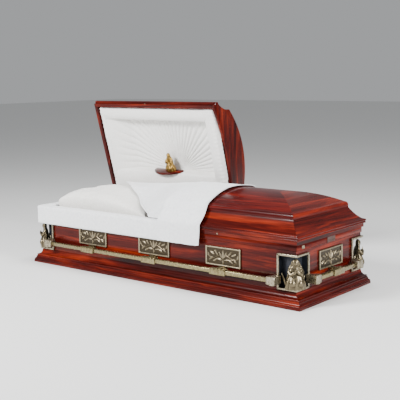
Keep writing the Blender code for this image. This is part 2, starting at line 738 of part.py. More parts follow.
def build_fittings():
    """Castings at the corners, and plaques, arms and bars along the sides."""
    casting = casting_mesh()
    for end, sign_x in (("head", -1), ("foot", 1)):
        for side, sign_y in (("front", -1), ("back", 1)):
            corner = Matrix.Translation((sign_x * PANEL_X, sign_y * PANEL_Y, 0.0))
            place_copy(f"corner_casting_{end}_{side}", casting, corner @ Matrix.Diagonal((sign_x, sign_y, 1, 1)))
    plaque, arm = plaque_mesh(), arm_mesh()
    fronts = [PLAQUE_SHIFT + PLAQUE_PITCH * i for i in (-1, 0, 1)]
    places = {"front": fronts, "back": [-along for along in fronts], "foot": [0.0], "head": [0.0]}
    for face, alongs in places.items():
        for i, along in enumerate(alongs):
            label = f"{face}_{i + 1}" if len(alongs) > 1 else face
            place_copy(f"plaque_{label}", plaque, face_matrix(face, along))
            place_copy(f"bar_arm_{label}", arm, face_matrix(face, along))
        build_bar(f"bar_{face}", face)


# Lid furniture

def lid_point(x, u, v):
    """A point of the closed lid: u forward from the hinge line, v up from the mouth."""
    return Vector((x, HINGE.y - u, LID_Z + v))


def build_shelf(parent):
    """Half-oval shelf with a small bracket, and a gilt kneeling figure on it."""
    floor = LINING_MOUTH + LINING_RECESS - SOFT_CLEARANCE
    steps = 10
    ring = []
    for i in range(steps + 1):
        angle = math.pi * i / steps
        ring.append((SHELF_X + SHELF_WIDTH / 2 * math.cos(angle), floor - SHELF_DEPTH * math.sin(angle)))
    rings = [[tuple(lid_point(x, SHELF_U + lift, v)) for x, v in ring] for lift in (-SHELF_THICKNESS / 2,
                                                                                   SHELF_THICKNESS / 2)]
    shelf = add_piece("lid_shelf", *loft(rings), "wood", parent, smooth=35)
    width = SHELF_WIDTH * 0.12
    side = [(floor, 0.0), (floor - SHELF_DEPTH * 0.55, 0.0), (floor - SHELF_DEPTH * 0.25, -0.018), (floor, -0.034)]
    rings = [[tuple(lid_point(SHELF_X + x, SHELF_U + up, v)) for v, up in side] for x in (-width, width)]
    unite(shelf, [add_piece("lid_shelf_bracket", *loft(rings), "wood", parent)])

    foot = lid_point(SHELF_X, SHELF_U + SHELF_THICKNESS / 2 + GAP, floor - SHELF_DEPTH * 0.45)
    robe, sleeves = mourner("lid_statuette", Vector((0.0, 0.0, 0.0)), Vector((0.0, -1.0, 0.0)),
                            STATUETTE_HEIGHT, STATUETTE_WIDTH, "gilt")
    stand = Matrix.Translation(foot - HINGE) @ Matrix.Rotation(math.radians(90), 4, "X")
    for piece in (robe, *sleeves):
        piece.data.transform(stand)
        piece.parent = parent
    unite(robe, sleeves)


# Soft parts

def build_mattress():
    """The bed inside the body."""
    half_x = INNER_X - MATTRESS_CLEARANCE
    half_y = INNER_Y - MATTRESS_CLEARANCE
    ease = 0.020
    rings = []
    for inset, z in ((0.0, FLOOR_THICKNESS + GAP), (0.0, MATTRESS_TOP - ease), (ease, MATTRESS_TOP)):
        x, y = half_x - inset, half_y - inset
        rings.append([(-x, -y, z), (x, -y, z), (x, y, z), (-x, y, z)])
    add_piece("mattress", *loft(rings), "lining")


def build_lining(name, low_x, high_x, parent):
    """A lid's lining: a padded border round a recessed panel, as one slab."""
    mid, half = (low_x + high_x) / 2, (high_x - low_x) / 2
    edge = LID_Y - LID_MEMBER - LINING_CLEARANCE
    back = LINING_RECESS + LINING_THICKNESS
    steps = ((0.0, LINING_MOUTH + 0.026), (0.006, LINING_MOUTH + 0.006), (0.020, LINING_MOUTH),
             (LINING_BORDER - 0.010, LINING_MOUTH), (LINING_BORDER, LINING_MOUTH + 0.006),
             (LINING_BORDER + LINING_SLOPE, LINING_MOUTH + LINING_RECESS))
    behind = ((LINING_BORDER + LINING_SLOPE, LINING_MOUTH + back), (0.080, LINING_MOUTH + back),
              (0.0, LINING_MOUTH + 0.026))

    def ring(inset, v):
        """A rectangle of the lining, in by its inset at its height."""
        x, y = half - inset, edge - inset
        return [(mid - x, -y, LID_Z + v), (mid + x, -y, LID_Z + v), (mid + x, y, LID_Z + v), (mid - x, y, LID_Z + v)]

    front = [ring(*step) for step in steps]
    rear = [ring(*step) for step in behind[:-1]]
    verts, faces = loft(list(reversed(front)) + list(reversed(rear)))
    return add_piece(name, verts, faces, "lining", parent, smooth=60)


def build_pillow():
    """A full head pillow, plump in the middle and thin at its seam."""
    rings = []
    across, layers = 20, 6
    for level in range(1, layers):
        tilt = math.pi * level / layers - math.pi / 2
        ring = []
        for i in range(across):
            angle = 2 * math.pi * i / across
            c, s = math.cos(angle), math.sin(angle)
            corner = 1.0 / max(abs(c), abs(s)) ** 0.70
            reach = math.cos(tilt) ** 0.45 * corner
            z = PILLOW_TOP - PILLOW_HEIGHT / 2 * (1 - math.sin(tilt))
            x = PILLOW_LENGTH / 2 * 0.93 * reach * c
            y = PILLOW_Y + PILLOW_WIDTH / 2 * 0.93 * reach * s
            x = PILLOW_X + x * (1 + PILLOW_SLANT * (0.5 - y / PILLOW_WIDTH) if x > 0 else 1)
            sink = PILLOW_SINK * max(0.0, x - PILLOW_X - 0.158) / 0.49
            share = (z - PILLOW_TOP + PILLOW_HEIGHT) / PILLOW_HEIGHT
            ring.append((x, y, z - sink * share))
        rings.append(ring)
    add_piece("pillow", *loft(rings), "lining", smooth=70)


def build_extendover():
    """The padded band over the front and head-end rails of the open half."""
    skirt_in = CASTING_PLATE + CASTING_BORDER_PROUD + SOFT_CLEARANCE
    skirt_out = skirt_in + EXTENDOVER_THICKNESS
    inward = RIM_PROUD - EXTENDOVER_INWARD
    under = SPLIT_Z + SOFT_CLEARANCE
    profile = [(skirt_out, EXTENDOVER_BOTTOM), (skirt_out, EXTENDOVER_TOP - 0.010), (skirt_out - 0.008, EXTENDOVER_TOP),
               (inward + 0.010, EXTENDOVER_TOP), (inward, EXTENDOVER_TOP - 0.012), (inward, under),
               (skirt_in, under), (skirt_in, EXTENDOVER_BOTTOM)]
    front = ((-PANEL_X, -PANEL_Y), (HEAD_END - SOFT_CLEARANCE, -PANEL_Y), Vector((0, -1)))
    rings = []
    for x, mitre in ((front[1][0], 0.0), (-PANEL_X, 1.0)):
        rings.append([(x - mitre * out, -PANEL_Y - out, z) for out, z in profile])
    back_y = PANEL_Y - BOARD - 0.030
    rings.append([(-PANEL_X - out, back_y, z) for out, z in profile])
    add_piece("extendover", *loft(rings), "lining", smooth=50)


def lid_skin(standoff):
    """Closed-lid half section pushed out by a standoff, rim to ridge, eased over the mouldings."""
    edge_top = CROWN_LIP_Z + CROWN_EDGE_RISE
    bead_top = LID_Z + LID_BAND + LID_BEAD
    points = [(LID_Y + standoff, SPLIT_Z), (LID_Y + standoff, bead_top - 0.004),
              (LID_Y - 0.010, bead_top + 0.004 + standoff), (LID_Y - 0.044, bead_top + 0.040 + standoff),
              (CROWN_Y + 0.003 + standoff, CROWN_LIP_Z + 0.004), (CROWN_Y - 0.008 + standoff * 0.5, edge_top + standoff)]
    for i in range(1, 7):
        t = i / 6
        y = (CROWN_Y - CROWN_EDGE_RUN) * (1 - t)
        points.append((y, edge_top + CROWN_ARCH_RISE * (1 - (1 - t) ** 2) + standoff))
    return points


def strip(points_by_ring, thickness_by_ring):
    """A closed slab from rings of top points and matching lower points."""
    rings = [list(top) + list(reversed(low)) for top, low in zip(points_by_ring, thickness_by_ring)]
    return loft(rings)


def build_overlay(parent):
    """The sheet laid over the foot lid's cut end: front flap, over the crown, a little down the back."""
    def path(standoff):
        """Section of the sheet from the flap's hem, over the crown, to behind the ridge."""
        half = lid_skin(standoff)
        line = [(-LID_Y - standoff, OVERLAY_FLAP)] + [(-y, z) for y, z in half]
        return line + [(y, z) for y, z in reversed(half[:-1]) if 0 < y < OVERLAY_BACK]

    top, low = path(OVERLAY_STANDOFF + OVERLAY_THICKNESS), path(OVERLAY_STANDOFF)
    xs = (FOOT_START + SOFT_CLEARANCE, OVERLAY_RIGHT)
    verts, faces = strip([[(x, y, z) for y, z in top] for x in xs], [[(x, y, z) for y, z in low] for x in xs])
    add_piece("overlay_sheet", verts, faces, "lining", parent, smooth=50)


def build_coverlet():
    """The coverlet turned back in a slant, over the bed and the pillow's end up to the foot lid's crown."""
    right = HEAD_END - SOFT_CLEARANCE
    edge = INNER_Y - COVERLET_INSET
    bed = EXTENDOVER_TOP + SOFT_CLEARANCE + COVERLET_THICKNESS
    half = [(y, z) for y, z in lid_skin(0.0) if y < edge and z > bed]
    line = [(-edge, bed)] + [(-y, z) for y, z in half]
    line += [(y, z) for y, z in reversed(half[:-1]) if y < COVERLET_BACK]
    steps = 6
    tops, lows = [], []
    for i in range(steps + 1):
        t = i / steps
        lift = t * t * (3 - 2 * t)
        top = []
        for y, z in line:
            low = bed + COVERLET_RISE * min(1.0, (y + edge) / (edge + 0.05))
            slant = (y + edge) / (COVERLET_BACK + edge)
            left = COVERLET_FRONT_LEFT + (COVERLET_BACK_LEFT - COVERLET_FRONT_LEFT) * slant
            top.append((left + (right - left) * t, y, low + (max(z, low) - low) * lift))
        tops.append(top)
        lows.append([(x, y, z - COVERLET_THICKNESS) for x, y, z in top])
    add_piece("coverlet", *strip(tops, lows), "lining", smooth=60)


def main():
    """Clear the scene and build the casket."""
    for obj in list(bpy.data.objects):
        bpy.data.objects.remove(obj, do_unlink=True)
    head_axis = add_hinge_empty("head_lid_hinge_axis", LID_OPEN_DEG)
    foot_axis = add_hinge_empty("foot_lid_hinge_axis", 0.0)
    build_body()
    for prefix, foot, axis in (("head", False, head_axis), ("foot", True, foot_axis)):
        build_lid(prefix, foot, axis)
        build_hinges(prefix, foot, axis)
    build_fittings()
    build_shelf(head_axis)
    build_mattress()
    edge = LID_MEMBER + LINING_CLEARANCE
    build_lining("head_lid_lining", -LID_X + edge, HEAD_END - BULKHEAD - LINING_CLEARANCE, head_axis)
    build_lining("foot_lid_lining", FOOT_START + BULKHEAD + LINING_CLEARANCE, LID_X - edge, foot_axis)
    build_pillow()
    build_extendover()
    build_coverlet()
    build_overlay(foot_axis)


main()
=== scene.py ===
"""Looks of the half-couch casket: mahogany, antique castings and a white padded interior."""
import json
import logging
import math
from dataclasses import dataclass
from enum import Enum
from typing import Callable, Sequence

import bmesh
import bpy
import numpy as np
from mathutils import Matrix, Vector, noise


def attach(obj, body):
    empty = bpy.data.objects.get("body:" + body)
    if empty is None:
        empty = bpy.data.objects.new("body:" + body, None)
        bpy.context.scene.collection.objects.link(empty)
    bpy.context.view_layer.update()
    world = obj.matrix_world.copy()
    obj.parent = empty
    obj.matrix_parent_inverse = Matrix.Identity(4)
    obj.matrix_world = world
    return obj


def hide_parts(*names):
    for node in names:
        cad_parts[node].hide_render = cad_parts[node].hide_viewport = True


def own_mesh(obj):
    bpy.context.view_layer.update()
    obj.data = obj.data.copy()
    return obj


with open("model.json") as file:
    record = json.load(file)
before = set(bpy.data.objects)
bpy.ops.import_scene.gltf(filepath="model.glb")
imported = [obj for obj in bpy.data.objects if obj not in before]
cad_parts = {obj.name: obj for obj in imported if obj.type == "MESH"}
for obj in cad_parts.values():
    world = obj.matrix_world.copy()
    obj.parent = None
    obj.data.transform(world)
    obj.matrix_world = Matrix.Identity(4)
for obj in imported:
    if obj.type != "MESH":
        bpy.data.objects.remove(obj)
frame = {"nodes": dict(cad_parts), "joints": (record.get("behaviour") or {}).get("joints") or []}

LOG = logging.getLogger("casket")
Point = tuple[float, float, float]
Pair = tuple[float, float]
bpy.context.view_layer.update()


class Slot(str, Enum):
    """Material slots of the record."""

    WOOD = "wood"
    METAL = "antique_metal"
    GILT = "gilt"
    LINING = "lining"


class Body(str, Enum):
    """The bodies that pieces ride on."""

    BODY = "body"
    HEAD_LID = "head_lid"
    FOOT_LID = "foot_lid"


class Grain(Enum):
    """Which way the grain of a board runs, as the turn that lays it along X."""

    LENGTHWISE = (0.0, 0.0, 0.0)
    CROSSWISE = (0.0, 0.0, math.radians(90))
    UPRIGHT = (0.0, math.radians(90), 0.0)


class Wear(Enum):
    """What decides where a plated casting is dark and where it is rubbed bright."""

    # By pointiness: darker in hollows, patina and painted shade; brighter on high edges, rubbed wear.
    EDGES = "edges"
    RELIEF = "relief"
    EVEN = "even"


@dataclass(frozen=True)
class Sizes:
    """Driving sizes of the casket, as built, in metres."""

    length: float = 2.144
    width: float = 0.786
    gap: float = 0.0003
    base_height: float = 0.092
    panel_inset: float = 0.042
    end_inset: float = 0.050
    board: float = 0.020
    plinth: float = 0.014
    split_z: float = 0.345
    rim_height: float = 0.034
    rim_proud: float = 0.005
    lid_proud: float = 0.024
    lid_band: float = 0.022
    lid_band_in: float = 0.011
    lid_bead: float = 0.028
    lid_member: float = 0.034
    crown_inset: float = 0.078
    lip_z: float = 0.478
    edge_rise: float = 0.022
    edge_run: float = 0.014
    arch_rise: float = 0.074
    shell: float = 0.014
    seat_drop: float = 0.008
    split_x: float = 0.058
    lid_gap: float = 0.003
    bulkhead: float = 0.018

    @property
    def panel_x(self) -> float:
        """Half length over the wall panels."""
        return self.length / 2 - self.end_inset

    @property
    def panel_y(self) -> float:
        """Half width over the wall panels."""
        return self.width / 2 - self.panel_inset

    @property
    def lid_x(self) -> float:
        """Half length over the lid band."""
        return self.panel_x + self.lid_proud

    @property
    def lid_y(self) -> float:
        """Half width over the lid band."""
        return self.panel_y + self.lid_proud

    @property
    def lid_z(self) -> float:
        """Height of the closed lid's underside."""
        return self.split_z + self.gap

    @property
    def bead_top(self) -> float:
        """Height of the top of the lid's reeds."""
        return self.lid_z + self.lid_band + self.lid_bead

    @property
    def crown_y(self) -> float:
        """Half width of the crown at its lip."""
        return self.lid_y - self.crown_inset

    @property
    def seat_z(self) -> float:
        """Height of the crown's seat on the lid frame."""
        return self.lip_z - self.seat_drop

    @property
    def head_end(self) -> float:
        """Where the head lid is cut."""
        return self.split_x - self.lid_gap / 2

    @property
    def foot_start(self) -> float:
        """Where the foot lid is cut."""
        return self.split_x + self.lid_gap / 2


S = Sizes()
HINGE_JOINT = next(joint for joint in frame["joints"] if joint["name"] == "head_lid_hinge")
HINGE = Vector(HINGE_JOINT["pos_m"])
OPEN_ANGLE = math.radians(HINGE_JOINT["range_deg"][1])
OPENED = Matrix.Translation(HINGE) @ Matrix.Rotation(-OPEN_ANGLE, 4, "X") @ Matrix.Translation(-HINGE)
CLOSED = Matrix.Identity(4)


# Modelling helpers

def all_off() -> None:
    """Leave edit mode and deselect every object."""
    if bpy.context.object is not None and bpy.context.object.mode != "OBJECT":
        bpy.ops.object.mode_set(mode="OBJECT")
    bpy.ops.object.select_all(action="DESELECT")


def only(obj: bpy.types.Object) -> None:
    """Select one object alone and make it active."""
    all_off()
    obj.select_set(True)
    bpy.context.view_layer.objects.active = obj


def arc(centre: Pair, radii: Pair, first: float, last: float, steps: int) -> list[Pair]:
    """Points on an elliptical arc.

    Args:
        centre: Centre in the profile's plane.
        radii: Half axes.
        first: First angle in degrees.
        last: Last angle in degrees.
        steps: Number of steps.

    Returns:
        The points in order.
    """
    turns = np.radians(np.linspace(first, last, steps + 1))
    return [(centre[0] + radii[0] * math.cos(a), centre[1] + radii[1] * math.sin(a)) for a in turns]


def loft(name: str, rings: Sequence[Sequence[Point]]) -> bpy.types.Object:
    """A closed body made by extruding one filled outline through a row of rings.

    Args:
        name: Name of the new object.
        rings: Rings with the same number of points each.

    Returns:
        The new object, with its ends filled and its faces outward.
    """
    all_off()
    bpy.ops.mesh.primitive_circle_add(vertices=len(rings[0]), fill_type="NGON")
    obj = bpy.context.object
    obj.name = name
    bpy.ops.object.mode_set(mode="EDIT")
    mesh = bmesh.from_edit_mesh(obj.data)
    place = mesh.verts.layers.int.new("place")
    for i, vert in enumerate(mesh.verts):
        vert[place] = i
        vert.co = rings[0][i]
    bmesh.update_edit_mesh(obj.data)
    for ring in rings[1:]:
        bpy.ops.mesh.extrude_region_move()
        mesh = bmesh.from_edit_mesh(obj.data)
        place = mesh.verts.layers.int["place"]
        for vert in mesh.verts:
            if vert.select:
                vert.co = ring[vert[place]]
        bmesh.update_edit_mesh(obj.data)
    bpy.ops.mesh.select_all(action="SELECT")
    bpy.ops.mesh.remove_doubles(threshold=0.00001)
    bpy.ops.mesh.normals_make_consistent(inside=False)
    bpy.ops.object.mode_set(mode="OBJECT")
    obj.data.attributes.remove(obj.data.attributes["place"])
    return obj


def sheet_grid(name: str, across: int, along: int, point: Callable[[float, float], Point]) -> bpy.types.Object:
    """An open surface from a grid, each point placed by a function of its shares across and along.

    Args:
        name: Name of the new object.
        across: Faces across.
        along: Faces along.
        point: Place of a point from its two shares, 0 to 1.

    Returns:
        The new object.
    """
    all_off()
    bpy.ops.mesh.primitive_grid_add(x_subdivisions=across, y_subdivisions=along, size=2)
    obj = bpy.context.object
    obj.name = name
    for vert in obj.data.vertices:
        vert.co = point((vert.co.x + 1) / 2, (vert.co.y + 1) / 2)
    return obj


def back_up(obj: bpy.types.Object, shift: Callable[[Vector], Vector]) -> None:
    """Close a surface into a slab: its rim is extruded to where shift puts it and filled across.

    Args:
        obj: An open surface.
        shift: New place of a rim point.
    """
    only(obj)
    bpy.ops.object.mode_set(mode="EDIT")
    bpy.ops.mesh.select_mode(type="EDGE")
    bpy.ops.mesh.select_all(action="DESELECT")
    bpy.ops.mesh.select_non_manifold()
    bpy.ops.mesh.extrude_edges_move()
    mesh = bmesh.from_edit_mesh(obj.data)
    for vert in mesh.verts:
        if vert.select:
            vert.co = shift(vert.co)
    bmesh.update_edit_mesh(obj.data)
    bpy.ops.mesh.edge_face_add()
    bpy.ops.mesh.select_all(action="SELECT")
    bpy.ops.mesh.quads_convert_to_tris()
    bpy.ops.mesh.normals_make_consistent(inside=False)
    bpy.ops.object.mode_set(mode="OBJECT")


def modify(obj: bpy.types.Object, kind: str, **values: object) -> None:
    """Add a modifier, set its values and apply it.

    Args:
        obj: The piece.
        kind: Modifier type.
        values: Its settings.
    """
    only(obj)
    modifier = obj.modifiers.new(kind.lower(), kind)
    for key, value in values.items():
        setattr(modifier, key, value)
    bpy.ops.object.modifier_apply(modifier=modifier.name)


def joined(name: str, objs: Sequence[bpy.types.Object]) -> bpy.types.Object:
    """Join objects into the first one and rename it."""
    all_off()
    for obj in objs:
        obj.select_set(True)
    bpy.context.view_layer.objects.active = objs[0]
    bpy.ops.object.join()
    objs[0].name = name
    return objs[0]


def smooth(obj: bpy.types.Object, degrees: float) -> None:
    """Shade an object smooth up to an edge angle."""
    only(obj)
    bpy.ops.object.shade_smooth_by_angle(angle=math.radians(degrees))


def linked(name: str, mesh: bpy.types.Mesh) -> bpy.types.Object:
    """A new object of the scene from a mesh."""
    obj = bpy.data.objects.new(name, mesh)
    bpy.context.scene.collection.objects.link(obj)
    return obj


def eased_copy(node: str, width: float, segments: int = 2) -> bpy.types.Object:
    """A copy of a solid of the frame with its sharp edges eased.

    Args:
        node: Node to copy.
        width: Width of the eased edge.
        segments: Steps in the eased edge.

    Returns:
        The new object, named after the node.
    """
    source = frame["nodes"][node]
    copy = linked(f"{node}_finished", source.data.copy())
    only(copy)
    bpy.ops.object.mode_set(mode="EDIT")
    bpy.ops.mesh.select_all(action="SELECT")
    bpy.ops.mesh.remove_doubles(threshold=0.00002)
    bpy.ops.mesh.dissolve_limited(angle_limit=math.radians(1))
    bpy.ops.object.mode_set(mode="OBJECT")
    modify(copy, "BEVEL", width=width, segments=segments, limit_method="ANGLE", angle_limit=math.radians(35),
           use_clamp_overlap=True)
    smooth(copy, 40)
    return copy


def settle(obj: bpy.types.Object, material: bpy.types.Material, body: Body, slot: Slot,
           nodes: Sequence[str] = (), place: Matrix = CLOSED) -> bpy.types.Object:
    """Put a finished piece in its place, dress it and tie it to the frame.

    Args:
        obj: The piece.
        material: Its finish.
        body: Body that it rides on.
        slot: Record slot of its finish; not used.
        nodes: Solids that it stands for.
        place: Move from where it was modelled.

    Returns:
        The same piece.
    """
    obj.data.transform(place)
    if not obj.data.materials:
        obj.data.materials.append(material)
    elif len(obj.data.materials) == 1:
        obj.data.materials[0] = material
    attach(obj, body.value)
    if nodes:
        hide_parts(*nodes)
    LOG.info("%s: %d faces on %s", obj.name, len(obj.data.polygons), body.value)
    return obj


# Finishes

@dataclass(frozen=True)
class Nodes:
    """A small hand for wiring one material's nodes."""

    material: bpy.types.Material

    @property
    def shader(self) -> bpy.types.Node:
        """The Principled shader."""
        return self.material.node_tree.nodes["Principled BSDF"]

    def add(self, kind: str, **sockets: object) -> bpy.types.Node:
        """Add a node and set or link its sockets by name.

        Args:
            kind: Node type.
            sockets: Input values or output sockets, spaces written as underscores.

        Returns:
            The node.
        """
        node = self.material.node_tree.nodes.new(kind)
        for key, value in sockets.items():
            self.put(node, key.replace("_", " "), value)
        return node

    def put(self, node: bpy.types.Node, name: str, value: object) -> None:
        """Set one input of a node, or link an output to it.

        Args:
            node: The node.
            name: Name of its input.
            value: A value, or the output to link.
        """
        target = node.inputs[name]
        if isinstance(value, bpy.types.NodeSocket):
            self.material.node_tree.links.new(value, target)
        else:
            target.default_value = value

    def ramp(self, factor: bpy.types.NodeSocket, stops: Sequence[tuple[float, tuple[float, float, float]]]
             ) -> bpy.types.NodeSocket:
        """A colour ramp.

        Args:
            factor: What drives it.
            stops: Positions and colours.

        Returns:
            Its colour output.
        """
        node = self.add("ShaderNodeValToRGB", Fac=factor)
        elements = node.color_ramp.elements
        while len(elements) < len(stops):
            elements.new(0.5)
        for element, (position, colour) in zip(elements, stops):
            element.position = position
            element.color = (*colour, 1.0)
        return node.outputs["Color"]

    def bump(self, height: bpy.types.NodeSocket, distance: float, strength: float = 1.0) -> None:
        """Wire a height to the shader's normal."""
        node = self.add("ShaderNodeBump", Height=height, Distance=distance, Strength=strength)
        self.put(self.shader, "Normal", node.outputs["Normal"])


def new_material(name: str) -> Nodes:
    """A new node material by name."""
    material = bpy.data.materials.new(name)
    material.use_nodes = True
    return Nodes(material)


@dataclass(frozen=True)
class Mahogany:
    """Glossy red mahogany: dark long grain, fine pores, clear lacquer."""

    grain: Grain
    deep: tuple[float, float, float] = (0.012, 0.0009, 0.0008)
    mid: tuple[float, float, float] = (0.062, 0.0040, 0.0024)
    bright: tuple[float, float, float] = (0.230, 0.0200, 0.0050)
    roughness: float = 0.24
    label: str = "mahogany"

    def build(self) -> bpy.types.Material:
        """Wire the material."""
        n = new_material(f"{self.label}_{self.grain.name.lower()}")
        coords = n.add("ShaderNodeTexCoord").outputs["Object"]
        mapped = n.add("ShaderNodeMapping", Vector=coords, Rotation=self.grain.value).outputs["Vector"]
        long_way = n.add("ShaderNodeMapping", Vector=mapped, Scale=(0.9, 15.0, 15.0)).outputs["Vector"]
        figure = n.add("ShaderNodeTexNoise", Vector=long_way, Scale=1.6, Detail=6.0, Roughness=0.62, Distortion=0.6)
        fine_way = n.add("ShaderNodeMapping", Vector=mapped, Scale=(5.0, 160.0, 160.0)).outputs["Vector"]
        pores = n.add("ShaderNodeTexNoise", Vector=fine_way, Scale=1.3, Detail=3.0, Roughness=0.55)
        colour = n.ramp(figure.outputs["Fac"], ((0.30, self.deep), (0.50, self.mid), (0.72, self.bright)))
        dark = n.ramp(pores.outputs["Fac"], ((0.32, (0.45, 0.40, 0.38)), (0.55, (1.0, 1.0, 1.0))))
        mixed = n.add("ShaderNodeMixRGB", Fac=0.75, Color1=colour, Color2=dark)
        mixed.blend_type = "MULTIPLY"
        shader = n.shader
        n.put(shader, "Base Color", mixed.outputs["Color"])
        shader.inputs["Roughness"].default_value = self.roughness
        shader.inputs["Specular IOR Level"].default_value = 0.08
        shader.inputs["Coat Weight"].default_value = 0.20
        shader.inputs["Coat IOR"].default_value = 1.36
        shader.inputs["Coat Roughness"].default_value = 0.07
        n.bump(pores.outputs["Fac"], 0.0002, 0.12)
        return n.material


@dataclass(frozen=True)
class CastMetal:
    """Antique plated casting: rubbed bright on high edges, dark in hollows as patina and painted shade."""

    name: str
    dark: tuple[float, float, float]
    body: tuple[float, float, float]
    worn: tuple[float, float, float]
    roughness: float = 0.32
    wear: Wear = Wear.EDGES

    def build(self) -> bpy.types.Material:
        """Wire the material."""
        n = new_material(self.name)
        coords = n.add("ShaderNodeTexCoord").outputs["Object"]
        blotches = n.add("ShaderNodeTexNoise", Vector=coords, Scale=90.0, Detail=5.0, Roughness=0.6)
        if self.wear is Wear.EVEN:
            level, stops = blotches.outputs["Fac"], ((0.25, self.dark), (0.45, self.body), (0.80, self.worn))
        else:
            spread = n.add("ShaderNodeMath")
            spread.operation = "MULTIPLY_ADD"
            n.put(spread, "Value", blotches.outputs["Fac"])
            spread.inputs[1].default_value = 0.05
            level = spread.outputs["Value"]
            if self.wear is Wear.RELIEF:
                height = n.add("ShaderNodeAttribute")
                height.attribute_name = "relief"
                n.material.node_tree.links.new(height.outputs["Fac"], spread.inputs[2])
                stops = ((0.05, self.dark), (0.40, self.body), (0.98, self.worn))
            else:
                # Pointiness darkens the hollows, patina and painted shade, and brightens the high edges as rubbed
                # wear.
                edge = n.add("ShaderNodeNewGeometry").outputs["Pointiness"]
                n.material.node_tree.links.new(edge, spread.inputs[2])
                stops = ((0.490, self.dark), (0.545, self.body), (0.620, self.worn))
        colour = n.ramp(level, stops)
        polished, dull = (self.roughness * 0.75,) * 3, (self.roughness * 1.3,) * 3
        rough = n.ramp(blotches.outputs["Fac"], ((0.35, polished), (0.7, dull)))
        n.put(n.shader, "Base Color", colour)
        n.put(n.shader, "Roughness", rough)
        n.shader.inputs["Metallic"].default_value = 0.9
        if self.wear is not Wear.EVEN:
            n.bump(blotches.outputs["Fac"], 0.0004, 0.15)
        return n.material


@dataclass(frozen=True)
class RecessPatina:
    """Blackened ground of a casting's recess."""

    colour: tuple[float, float, float] = (0.012, 0.014, 0.020)

    def build(self) -> bpy.types.Material:
        """Wire the material."""
        n = new_material("recess_patina")
        coords = n.add("ShaderNodeTexCoord").outputs["Object"]
        grit = n.add("ShaderNodeTexNoise", Vector=coords, Scale=260.0, Detail=4.0)
        colour = n.ramp(grit.outputs["Fac"], ((0.4, self.colour), (0.75, tuple(c * 2.4 for c in self.colour))))
        n.put(n.shader, "Base Color", colour)
        n.shader.inputs["Metallic"].default_value = 0.4
        n.shader.inputs["Roughness"].default_value = 0.5
        n.bump(grit.outputs["Fac"], 0.0006, 0.5)
        return n.material


@dataclass(frozen=True)
class Cloth:
    """White interior cloth: short pile or crepe, with a soft sheen."""

    name: str
    light: tuple[float, float, float]
    shade: tuple[float, float, float]
    weave: float = 900.0
    crepe: float = 60.0

    def build(self) -> bpy.types.Material:
        """Wire the material."""
        n = new_material(self.name)
        coords = n.add("ShaderNodeTexCoord").outputs["Object"]
        pile = n.add("ShaderNodeTexNoise", Vector=coords, Scale=self.weave, Detail=2.0)
        crush = n.add("ShaderNodeTexNoise", Vector=coords, Scale=self.crepe, Detail=4.0, Roughness=0.6)
        colour = n.ramp(crush.outputs["Fac"], ((0.3, self.shade), (0.65, self.light)))
        height = n.add("ShaderNodeMath")
        height.operation = "ADD"
        n.put(height, "Value", pile.outputs["Fac"])
        n.material.node_tree.links.new(crush.outputs["Fac"], height.inputs[1])
        n.put(n.shader, "Base Color", colour)
        n.shader.inputs["Roughness"].default_value = 0.92
        n.shader.inputs["Sheen Weight"].default_value = 0.35
        n.shader.inputs["Sheen Roughness"].default_value = 0.5
        n.bump(height.outputs["Value"], 0.0010, 0.35)
        return n.material


WOOD = {grain: Mahogany(grain).build() for grain in Grain}
# Darker copy of the mahogany for the crown: painted shade on the lid's top.
CROWN_WOOD_PAINTED_SHADE = Mahogany(Grain.LENGTHWISE, (0.012, 0.0008, 0.0010), (0.056, 0.0036, 0.0032), (0.150, 0.0100, 0.0050),
                      label="crown_mahogany_painted_shade").build()
# Lighter copy of the mahogany, with the hip's own grain: painted light on the crown faces turned towards the ends.
HIP_WOOD_PAINTED_LIGHT = {grain: Mahogany(grain, (0.020, 0.0014, 0.0012), (0.085, 0.0062, 0.0034), (0.230, 0.0200, 0.0060),
                            label="hip_mahogany_painted_light").build() for grain in (Grain.CROSSWISE, Grain.UPRIGHT)}
ANTIQUE = CastMetal("antique_silver_gold", (0.014, 0.011, 0.007), (0.20, 0.162, 0.098), (0.62, 0.55, 0.40)).build()
RELIEF = CastMetal("antique_relief", (0.035, 0.026, 0.016), (0.120, 0.094, 0.058), (0.31, 0.26, 0.175),
                   wear=Wear.RELIEF).build()
PLATED = CastMetal("plated_bar", (0.10, 0.080, 0.038), (0.215, 0.175, 0.086), (0.36, 0.31, 0.18), 0.26,
                   Wear.EVEN).build()
BORDER = CastMetal("plated_border", (0.12, 0.100, 0.066), (0.28, 0.240, 0.165), (0.50, 0.45, 0.34), 0.30,
                   Wear.EVEN).build()
TABLET = CastMetal("bronze_tablet", (0.05, 0.030, 0.026), (0.10, 0.060, 0.050), (0.20, 0.12, 0.10), 0.40,
                   Wear.EVEN).build()
GILT = CastMetal("antique_gilt", (0.045, 0.024, 0.008), (0.36, 0.22, 0.055), (0.72, 0.52, 0.20)).build()
PATINA = RecessPatina().build()
BAND_CLOTH = Cloth("band_velvet", (0.86, 0.87, 0.88), (0.74, 0.75, 0.77)).build()
WARM_CLOTH = Cloth("pillow_velvet", (0.85, 0.83, 0.79), (0.74, 0.72, 0.67)).build()
CREPE = Cloth("lining_crepe", (0.86, 0.85, 0.83), (0.76, 0.74, 0.70), weave=700.0, crepe=140.0).build()


# Wood

def base_profile(out: float) -> list[Pair]:
    """Base moulding section, out from the panel's face."""
    top = S.base_height
    points = [(S.gap, 0.0), (out - 0.001, 0.0), (out, 0.001), (out, S.plinth)]
    points += arc((out - 0.005, S.plinth + 0.005), (0.0035, 0.004), -60, 80, 8)
    points += arc((out - 0.003, S.plinth + 0.027), (0.0095, 0.016), -95, -175, 10)
    points += arc((out - 0.019, S.plinth + 0.036), (0.0035, 0.0045), -70, 80, 8)
    points += arc((out - 0.019, top - 0.004), (out - 0.0225, 0.034), -95, -175, 12)
    return points + [(S.gap, top)]


